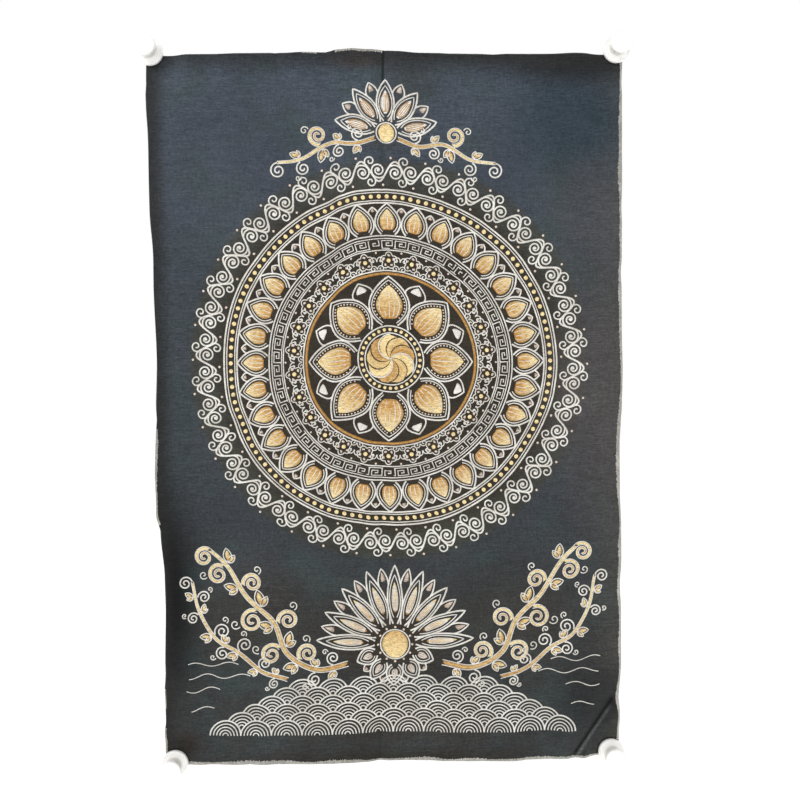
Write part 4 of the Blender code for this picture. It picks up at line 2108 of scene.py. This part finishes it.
@dataclass(frozen=True)
class HoldingKnob:
    """A turned plastic knob that presses one corner of the cloth to the wall."""

    flange_radius: float = 0.0170
    flange_height: float = 0.0042
    flange_round: float = 0.0016
    waist_radius: float = 0.0088
    waist_bottom: float = 0.0068
    waist_top: float = 0.0118
    head_radius: float = 0.0134
    head_bottom: float = 0.0146
    head_top: float = 0.0200
    head_round: float = 0.0017
    crown_rise: float = 0.0010
    groove_width: float = 0.0009
    groove_depth: float = 0.0004
    stand_off: float = 0.0015
    foot_bevel: float = 0.0004
    recess_start: float = 0.0001
    recess_end: float = 0.0002
    recess_fall: float = 1.7
    crown_steps: int = 5
    round_steps: int = 6
    turn_steps: int = 72

    def round_edge(
        self, radius: float, height: float, size: float, start: float, end: float
    ) -> list[RadiusHeight]:
        """Points of a rounded edge.

        Args:
            radius: centre of the rounding, from the axis.
            height: its height.
            size: its radius.
            start: first angle in degrees.
            end: last angle.

        Returns:
            The points as radius and height.
        """
        points = []
        for index in range(self.round_steps + 1):
            angle = math.radians(start + (end - start) * index / self.round_steps)
            points.append((radius + size * math.cos(angle), height + size * math.sin(angle)))
        return points

    def profile(self) -> list[RadiusHeight]:
        """The knob's outer side as radius and height, from its crown down to its foot.

        Returns:
            The points in order.
        """
        head_in = self.head_radius - self.head_round
        flange_in = self.flange_radius - self.flange_round
        points = [(0.0, self.head_top + self.crown_rise)]
        for index in range(1, self.crown_steps):
            share = index / self.crown_steps
            points.append((head_in * share, self.head_top + self.crown_rise * (1.0 - share * share)))
        points += self.round_edge(head_in, self.head_top - self.head_round, self.head_round, 90.0, 0.0)
        points += self.round_edge(head_in, self.head_bottom + self.head_round, self.head_round, 0.0, -90.0)
        span = self.head_bottom - self.waist_top
        reach = head_in - self.waist_radius
        for index in range(self.round_steps + 1):
            angle = math.radians(90.0 * index / self.round_steps)
            points.append((head_in - reach * math.sin(angle), self.waist_top + span * math.cos(angle)))
        span = self.waist_bottom - self.flange_height
        face_in = flange_in - self.groove_width
        reach = face_in - self.waist_radius
        for index in range(self.round_steps + 1):
            angle = math.radians(90.0 * index / self.round_steps)
            points.append((face_in - reach * math.cos(angle), self.waist_bottom - span * math.sin(angle)))
        for share, depth in ((0.12, 0.6), (0.35, 1.0), (0.65, 1.0), (0.88, 0.6)):
            groove = self.flange_height - self.groove_depth * depth
            points.append((face_in + self.groove_width * share, groove))
        rim = self.flange_height - self.flange_round
        points += self.round_edge(flange_in, rim, self.flange_round, 90.0, 0.0)
        bevel = self.foot_bevel
        points += [(self.flange_radius, bevel), (self.flange_radius - bevel, 0.0), (0.0, 0.0)]
        return points

    def build(self, spot: KnobPlace, material: bpy.types.Material) -> bpy.types.Object:
        """Turn one knob at its corner.

        Args:
            spot: its place and the CAD node that it stands for.
            material: the plastic.

        Returns:
            The knob.
        """
        turned = bmesh.new()
        ring_verts = [turned.verts.new((radius, 0.0, height)) for radius, height in self.profile()]
        edges = [turned.edges.new(pair) for pair in zip(ring_verts, ring_verts[1:])]
        bmesh.ops.spin(
            turned,
            geom=ring_verts + edges,
            cent=(0.0, 0.0, 0.0),
            axis=(0.0, 0.0, 1.0),
            angle=math.tau,
            steps=self.turn_steps,
        )
        bmesh.ops.remove_doubles(turned, verts=turned.verts, dist=0.00001)
        bmesh.ops.recalc_face_normals(turned, faces=turned.faces)
        for face in turned.faces:
            face.smooth = True
        # the recess attribute marks where the finish paints shade between the flange and the head
        recess = turned.verts.layers.float.new("recess")
        low = self.flange_height - self.recess_start
        high = self.head_bottom + self.recess_end
        reach = (self.head_radius - self.waist_radius) / self.recess_fall
        for vert in turned.verts:
            outward = (math.hypot(vert.co.x, vert.co.y) - self.waist_radius) / reach
            vert[recess] = 1.0 - smooth_step(outward) if low < vert.co.z < high else 0.0
        place = Matrix.Translation((spot.right, -self.stand_off, -spot.down))
        turned.transform(place @ Matrix.Rotation(math.pi / 2, 4, "X"))
        mesh = bpy.data.meshes.new(spot.node)
        turned.to_mesh(mesh)
        turned.free()
        mesh.materials.append(material)
        knob = linked("turned_" + spot.node, mesh)
        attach(knob, BODY)
        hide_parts(spot.node)
        log.info("%s: %d faces", knob.name, len(mesh.polygons))
        return knob


# Finishes


def new_material(name: str) -> tuple[Wiring, bpy.types.Node, bpy.types.Material]:
    """Start a material with one Principled shader.

    Args:
        name: the material's name.

    Returns:
        Its wiring, its shader and the material.
    """
    material = bpy.data.materials.new(name)
    material.use_nodes = True
    wiring = Wiring(material.node_tree)
    return wiring, material.node_tree.nodes["Principled BSDF"], material


def raw_noise(wiring: Wiring, grain: Grain) -> Socket:
    """Noise drawn out along the weft or the warp.

    Args:
        wiring: the material's wiring.
        grain: its scale and detail.

    Returns:
        The noise, 0 to 1.
    """
    here = wiring.add("ShaderNodeTexCoord").outputs["Object"]
    stretched = wiring.add("ShaderNodeMapping", {"Vector": here, "Scale": grain[:3]})
    inputs = {"Vector": stretched.outputs[0], "Scale": 1.0, "Detail": grain.detail}
    return wiring.add("ShaderNodeTexNoise", inputs).outputs[0]


def streaks(wiring: Wiring, grain: Grain) -> Socket:
    """The noise of a grain, put through its blend."""
    return ranged(wiring, raw_noise(wiring, grain), *grain.blend)


def mixed(wiring: Wiring, share: Any, first: Any, second: Any, blend: str = "MIX") -> Socket:
    """Mix two colours.

    Args:
        wiring: the material's wiring.
        share: how much of the second.
        first: the first colour.
        second: the second colour.
        blend: how they are mixed.

    Returns:
        The mixed colour.
    """
    node = wiring.add("ShaderNodeMix", data_type="RGBA", blend_type=blend)
    for index, value in ((0, share), (6, first), (7, second)):
        if isinstance(value, Socket):
            wiring.tree.links.new(value, node.inputs[index])
        elif index:
            node.inputs[index].default_value = (*value, 1.0)
        else:
            node.inputs[index].default_value = value
    return node.outputs[2]


def ranged(wiring: Wiring, value: Any, low: float, high: float, at_low: float, at_high: float) -> Socket:
    """Map a value softly from one range to another, held at its ends."""
    numbers = {0: value, 1: low, 2: high, 3: at_low, 4: at_high}
    return wiring.add("ShaderNodeMapRange", numbers, interpolation_type="SMOOTHSTEP").outputs[0]


@dataclass(frozen=True)
class BrocadeGround:
    """Finish of the slate ground weave."""

    name: str = "slate_brocade"
    # top, middle and foot: lighter and bluer at the top, darker at the foot; partly the cloth's own tone,
    # partly painted sheen of the light from above
    top: Colour = srgb(65, 72, 82)
    middle: Colour = srgb(60, 65, 71)
    foot: Colour = srgb(52, 53, 53)
    green_cast: Colour = srgb(56, 68, 68)
    right_margin_tone: Colour = srgb(80, 79, 73)
    # painted shade of the curled left and top edges
    edge_shade: Colour = srgb(38, 38, 37)
    packed: Colour = srgb(50, 43, 35)
    packed_rim: Colour = srgb(62, 60, 46)
    back: Colour = srgb(62, 64, 66)
    roundel: Place = GreatRoundel.centre * MM
    packed_blend: Blend = Blend(0.205, 0.235, 0.85, 0.0)
    rim_blend: Blend = Blend(0.246, 0.261, 0.60, 0.0)
    roughness: float = 0.82
    specular: float = 0.17
    sheen: float = 0.06
    sheen_roughness: float = 0.45
    ribs_per_metre: float = 620.0
    rib_relief: float = 0.35
    weft_relief: float = 1.2
    relief_strength: float = 0.5
    relief_depth: float = 0.0002
    # ring of painted contact shadow round each knob's flange
    knob_shadow_blend: Blend = Blend(0.0165, 0.0205, 0.40, 1.0)
    zone_core: float = 0.20
    top_blend: Blend = Blend(-0.45, -0.02, 0.0, 1.0)
    foot_blend: Blend = Blend(-0.82, -0.42, 1.0, 0.0)
    right_margin_blend: Blend = Blend(0.240, 0.302, 0.0, 0.50)
    left_edge_shade_blend: Blend = Blend(-0.296, -0.272, 0.88, 0.0)
    top_shade_blend: Blend = Blend(-0.032, 0.000, 0.0, 1.0)
    top_shade_fade: Blend = Blend(-0.25, 0.25, 0.72, 1.0)
    back_blend: Blend = Blend(-0.20, 0.20, 0.0, 0.85)
    cast_grain: Grain = Grain(16.0, 16.0, 16.0, 3.0, Blend(0.42, 0.68, 0.0, 0.55))
    soft_grain: Grain = Grain(9.0, 9.0, 8.0, 3.0, Blend(0.30, 0.70, 0.90, 1.10))
    slub_grain: Grain = Grain(60.0, 60.0, 520.0, 3.0, Blend(0.25, 0.75, 0.86, 1.14))
    weft_grain: Grain = Grain(230.0, 300.0, 1100.0, 2.0, Blend(0.30, 0.70, 0.76, 1.24))
    warp_grain: Grain = Grain(1000.0, 900.0, 120.0, 1.0, Blend(0.30, 0.70, 0.88, 1.12))

    def colour(self, wiring: Wiring, here: Any, across: Any, upward: Any) -> Socket:
        """Broad colours: bluer at the top, browner at the margins, warm where threads are packed.

        Args:
            wiring: the material's wiring.
            here: place on the cloth.
            across: place to the right.
            upward: place upwards.

        Returns:
            The colour before its weave.
        """
        # partly painted light: lighter and bluer towards the top, darker towards the foot
        ground = mixed(wiring, ranged(wiring, upward, *self.top_blend), self.middle, self.top)
        ground = mixed(wiring, ranged(wiring, upward, *self.foot_blend), ground, self.foot)
        ground = mixed(wiring, streaks(wiring, self.cast_grain), ground, self.green_cast)
        # lighter and browner towards the right edge
        ground = mixed(wiring, ranged(wiring, across, *self.right_margin_blend), ground, self.right_margin_tone)
        distance = self.oval(wiring, here, 0.0, self.roundel.imag, 1.0, 1.0)
        ground = mixed(wiring, ranged(wiring, distance, *self.rim_blend), ground, self.packed_rim)
        ground = mixed(wiring, ranged(wiring, distance, *self.packed_blend), ground, self.packed)
        # soft ovals of the cloth's own tones, some of them painted shade
        for zone in GROUND_TONES_AND_SHADES:
            spread = self.oval(wiring, here, zone.right, zone.up, zone.half_width, zone.half_height)
            share = ranged(wiring, spread, self.zone_core, 1.0, zone.share, 0.0)
            ground = mixed(wiring, share, ground, srgb(*zone.colour))
        # painted shade along the left edge
        ground = mixed(wiring, ranged(wiring, across, *self.left_edge_shade_blend), ground, self.edge_shade)
        # painted shade along the top edge, weaker towards the left
        fade = ranged(wiring, across, *self.top_shade_fade)
        top_shade = wiring.math("MULTIPLY", ranged(wiring, upward, *self.top_shade_blend), fade)
        face = mixed(wiring, top_shade, ground, self.edge_shade)
        normal = wiring.add("ShaderNodeNewGeometry").outputs["Normal"]
        backward = wiring.add("ShaderNodeSeparateXYZ", {0: normal}).outputs["Y"]
        return mixed(wiring, ranged(wiring, backward, *self.back_blend), face, self.back)

    @staticmethod
    def oval(
        wiring: Wiring, here: Any, right: float, up: float, half_width: float, half_height: float
    ) -> Socket:
        """Distance from a place on the cloth, counted in half widths and half heights.

        Args:
            wiring: the material's wiring.
            here: place on the cloth.
            right: the oval's middle, right of the centre line.
            up: its middle, up from the top edge.
            half_width: its half width, or 1 for a distance in metres.
            half_height: its half height.

        Returns:
            The distance, 1 on the oval.
        """
        off = wiring.vector("SUBTRACT", here, (right, 0.0, up))
        scaled = wiring.vector("MULTIPLY", off, (1.0 / half_width, 0.0, 1.0 / half_height))
        length = wiring.add("ShaderNodeVectorMath", {0: scaled}, operation="LENGTH")
        return length.outputs["Value"]

    @staticmethod
    def crease(wiring: Wiring, here: Any, shade: Shade) -> Socket:
        """How much one crease darkens or lightens the ground, as a factor.

        Args:
            wiring: the material's wiring.
            here: place on the cloth.
            shade: the crease's line and tone.

        Returns:
            The factor, 1 away from the crease.
        """
        run = Vector((shade.right_2 - shade.right_1, 0.0, shade.down_1 - shade.down_2))
        way = run.normalized()
        middle = (shade.right_1 + run.x / 2, 0.0, run.z / 2 - shade.down_1)
        off = wiring.vector("SUBTRACT", here, middle)
        reads = []
        for axis in (way, Vector((way.z, 0.0, -way.x))):
            read = wiring.add("ShaderNodeVectorMath", {0: off, 1: tuple(axis)}, operation="DOT_PRODUCT")
            reads.append(wiring.math("ABSOLUTE", read.outputs["Value"]))
        along = ranged(wiring, reads[0], run.length / 2, run.length / 2 + shade.run_out, 1.0, 0.0)
        near = ranged(wiring, reads[1], 0.0, shade.half_width * 1.5, shade.tone, 0.0)
        return wiring.math("MULTIPLY_ADD", along, near, 1.0)

    def build(self) -> bpy.types.Material:
        """Make the material.

        Returns:
            The material.
        """
        wiring, shader, material = new_material(self.name)
        here = wiring.add("ShaderNodeTexCoord").outputs["Object"]
        parts = wiring.add("ShaderNodeSeparateXYZ", {0: here}).outputs
        ground = self.colour(wiring, here, parts["X"], parts["Z"])
        broad = wiring.math("MULTIPLY", streaks(wiring, self.soft_grain), streaks(wiring, self.slub_grain))
        weft = streaks(wiring, self.weft_grain)
        close = wiring.math("MULTIPLY", weft, streaks(wiring, self.warp_grain))
        tone = wiring.math("MULTIPLY", broad, close)
        for shade in CREASE_SHADES:
            tone = wiring.math("MULTIPLY", tone, self.crease(wiring, here, shade))
        # painted contact shadow: the ground darkens in a ring round each knob's flange
        for knob in KNOB_PLACES:
            distance = self.oval(wiring, here, knob.right, -knob.down, 1.0, 1.0)
            tone = wiring.math("MULTIPLY", tone, ranged(wiring, distance, *self.knob_shadow_blend))
        wiring.tree.links.new(wiring.scaled(ground, tone), shader.inputs["Base Color"])
        ribs = wiring.math("SINE", wiring.math("MULTIPLY", parts["Z"], self.ribs_per_metre * math.tau))
        ribs = wiring.math("MULTIPLY", ribs, self.rib_relief)
        relief = wiring.math("ADD", ribs, wiring.math("MULTIPLY", weft, self.weft_relief))
        wiring.relief(shader, relief, self.relief_strength, self.relief_depth)
        shader.inputs["Roughness"].default_value = self.roughness
        shader.inputs["Specular IOR Level"].default_value = self.specular
        shader.inputs["Sheen Weight"].default_value = self.sheen
        shader.inputs["Sheen Roughness"].default_value = self.sheen_roughness
        return material


@dataclass(frozen=True)
class ThreadFinish:
    """Finish of one ornament thread, from its deep shade to its pale one."""

    name: str
    deep: Colour
    pale: Colour
    gap: Colour = srgb(58, 56, 54)
    gaps: float = 0.42
    roughness: float = 0.50
    specular: float = 0.40
    sheen: float = 0.10
    shaded: bool = False
    relief_strength: float = 0.4
    relief_depth: float = 0.0002
    shade_grain: Grain = Grain(30.0, 30.0, 60.0, 3.0)
    drift_grain: Grain = Grain(160.0, 200.0, 700.0, 2.0, Blend(0.25, 0.75, -0.28, 0.28))
    fleck_grain: Grain = Grain(420.0, 500.0, 1050.0, 1.0)
    fleck_start: float = 0.52
    fleck_end: float = 0.66

    def build(self) -> bpy.types.Material:
        """Make the material.

        Returns:
            The material.
        """
        wiring, shader, material = new_material(self.name)
        if self.shaded:
            shade = wiring.add("ShaderNodeAttribute", attribute_name="shade").outputs["Fac"]
        else:
            shade = streaks(wiring, self.shade_grain)
        drift = streaks(wiring, self.drift_grain)
        tint = mixed(wiring, wiring.math("ADD", shade, drift), self.deep, self.pale)
        fleck_noise = raw_noise(wiring, self.fleck_grain)
        flecks = ranged(wiring, fleck_noise, self.fleck_start, self.fleck_end, 0.0, self.gaps)
        colour = mixed(wiring, flecks, tint, self.gap)
        wiring.tree.links.new(colour, shader.inputs["Base Color"])
        wiring.relief(shader, drift, self.relief_strength, self.relief_depth)
        shader.inputs["Roughness"].default_value = self.roughness
        shader.inputs["Specular IOR Level"].default_value = self.specular
        shader.inputs["Sheen Weight"].default_value = self.sheen
        return material


@dataclass(frozen=True)
class PlasticFinish:
    """Finish of the white knobs."""

    name: str = "white_knob_plastic"
    colour: Colour = srgb(252, 251, 248)
    handled: Colour = srgb(240, 237, 232)
    shadowed: Colour = srgb(212, 209, 202)
    handled_grain: Grain = Grain(90.0, 90.0, 90.0, 4.0, Blend(0.45, 0.80, 0.0, 0.5))
    roughness_grain: Grain = Grain(240.0, 240.0, 240.0, 2.0, Blend(0.30, 0.70, 0.34, 0.48))
    skin_grain: Grain = Grain(1500.0, 1500.0, 1500.0, 1.0)
    skin_strength: float = 0.06
    skin_depth: float = 0.0001
    glow_weight: float = 0.06
    glow_reach: float = 0.004

    def build(self) -> bpy.types.Material:
        """Make the material.

        Returns:
            The material.
        """
        wiring, shader, material = new_material(self.name)
        marks = streaks(wiring, self.handled_grain)
        # painted shade in the recess between each knob's flange and head
        recess = wiring.add("ShaderNodeAttribute", attribute_name="recess").outputs["Fac"]
        plain = mixed(wiring, marks, self.colour, self.handled)
        wiring.tree.links.new(mixed(wiring, recess, plain, self.shadowed), shader.inputs["Base Color"])
        wiring.tree.links.new(streaks(wiring, self.roughness_grain), shader.inputs["Roughness"])
        skin = raw_noise(wiring, self.skin_grain)
        wiring.relief(shader, skin, self.skin_strength, self.skin_depth)
        shader.inputs["Subsurface Weight"].default_value = self.glow_weight
        shader.inputs["Subsurface Radius"].default_value = (self.glow_reach,) * 3
        return material


# Studio


class Lamp(NamedTuple):
    """A soft square lamp: its name, place, side in metres and power in watts."""

    name: str
    place: tuple[float, float, float]
    size: float
    power: float


@dataclass(frozen=True)
class Studio:
    """Camera, floor and light."""

    camera_place: tuple[float, float, float] = (0.0024, -0.761, -0.4069)
    camera_yaw: float = -0.786
    camera_pitch: float = -2.207
    camera_roll: float = -0.64
    lens: float = 26.55
    sensor: float = 36.0
    floor_height: float = -1.30
    floor_size: float = 14.0
    floor_white: float = 0.94
    floor_roughness: float = 0.9
    floor_glow: float = 0.30
    lamps: tuple[Lamp, ...] = (
        Lamp("key_lamp", (-1.5, -1.7, 1.1), 1.0, 26.0),
        Lamp("fill_lamp", (1.8, -1.9, 0.3), 1.4, 6.0),
    )
    lamp_aim: tuple[float, float, float] = (0.0, 0.0, -0.45)
    room_blend: Blend = Blend(-0.15, 0.15, 0.62, 1.0)
    near_clip: float = 0.01

    def build(self) -> None:
        """Set up the whole studio."""
        self.add_camera()
        self.add_floor()
        self.add_world()
        for lamp in self.lamps:
            self.add_lamp(lamp)
        bpy.context.scene.view_settings.view_transform = "Standard"

    def add_camera(self) -> None:
        """Put the camera where the photograph was taken from."""
        camera = bpy.data.cameras.new("camera")
        camera.lens = self.lens
        camera.sensor_width = self.sensor
        camera.clip_start = self.near_clip
        view = linked("camera", camera)
        yaw = Matrix.Rotation(math.radians(self.camera_yaw), 4, "Z")
        pitch = Matrix.Rotation(math.radians(90.0 + self.camera_pitch), 4, "X")
        roll = Matrix.Rotation(math.radians(self.camera_roll), 4, "Z")
        view.matrix_world = Matrix.Translation(self.camera_place) @ yaw @ pitch @ roll
        bpy.context.scene.camera = view

    def add_floor(self) -> None:
        """Lay a plain pale floor well below the cloth."""
        grid = bmesh.new()
        bmesh.ops.create_grid(grid, x_segments=1, y_segments=1, size=self.floor_size / 2)
        bmesh.ops.translate(grid, verts=grid.verts, vec=(0.0, 0.0, self.floor_height))
        mesh = bpy.data.meshes.new("floor")
        grid.to_mesh(mesh)
        grid.free()
        _, shader, material = new_material("floor_paint")
        white = self.floor_white
        shader.inputs["Base Color"].default_value = (white, white, white, 1.0)
        shader.inputs["Roughness"].default_value = self.floor_roughness
        shader.inputs["Emission Color"].default_value = (1.0, 1.0, 1.0, 1.0)
        shader.inputs["Emission Strength"].default_value = self.floor_glow
        mesh.materials.append(material)
        floor = linked("floor", mesh)

    def add_world(self) -> None:
        """Make soft light all round, brighter behind the cloth than in front of it."""
        world = bpy.data.worlds.new("studio")
        world.use_nodes = True
        bpy.context.scene.world = world
        wiring = Wiring(world.node_tree)
        towards = wiring.add("ShaderNodeTexCoord").outputs["Generated"]
        parts = wiring.add("ShaderNodeSeparateXYZ", {0: towards}).outputs
        strength = ranged(wiring, parts["Y"], *self.room_blend)
        wiring.tree.links.new(strength, world.node_tree.nodes["Background"].inputs["Strength"])
        world.node_tree.nodes["Background"].inputs["Color"].default_value = (1.0, 1.0, 1.0, 1.0)

    def add_lamp(self, lamp: Lamp) -> None:
        """Hang a lamp that looks at the middle of the cloth.

        Args:
            lamp: the lamp's place and power.
        """
        light = bpy.data.lights.new(lamp.name, "AREA")
        light.size = lamp.size
        light.energy = lamp.power
        aim = Vector(self.lamp_aim) - Vector(lamp.place)
        turn = aim.to_track_quat("-Z", "Y").to_matrix().to_4x4()
        linked(lamp.name, light).matrix_world = Matrix.Translation(lamp.place) @ turn


def main() -> None:
    """Build the hanging piece by piece."""
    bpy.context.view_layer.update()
    Studio().build()
    threads = {
        Thread.SILVER: ThreadFinish("silver_thread", srgb(214, 209, 199), srgb(246, 243, 235), gaps=0.24),
        Thread.GOLD: ThreadFinish("gold_thread", srgb(184, 130, 52), srgb(250, 228, 168), shaded=True),
        Thread.ROSE: ThreadFinish("rose_thread", srgb(160, 138, 120), srgb(234, 216, 198), shaded=True),
    }
    finishes = {thread: finish.build() for thread, finish in threads.items()}
    edge_pale = ThreadFinish("edge_yarn", srgb(176, 174, 165), srgb(206, 203, 194), gaps=0.22).build()
    edge_dark = ThreadFinish("dark_edge_yarn", srgb(40, 43, 47), srgb(62, 66, 71), gaps=0.3).build()
    cloth = HungCloth()
    panel = cloth.build(BrocadeGround().build())
    log.info("%s: %d faces", panel.name, len(panel.data.polygons))
    loom = Loom(cloth, finishes)
    for part in (GreatRoundel(), Crest(), LowerLotus(), Sprays(), Waves()):
        part.build(loom)
    EdgeStitching(cloth.form).build(loom, edge_pale, edge_dark)
    loom.put_away()
    for piece in (panel, *loom.pieces):
        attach(piece, BODY)
    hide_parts(cloth.node)
    plastic = PlasticFinish().build()
    knobs = [HoldingKnob().build(spot, plastic) for spot in KNOB_PLACES]
    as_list(loom.pieces)


if __name__ == "__main__":
    main()
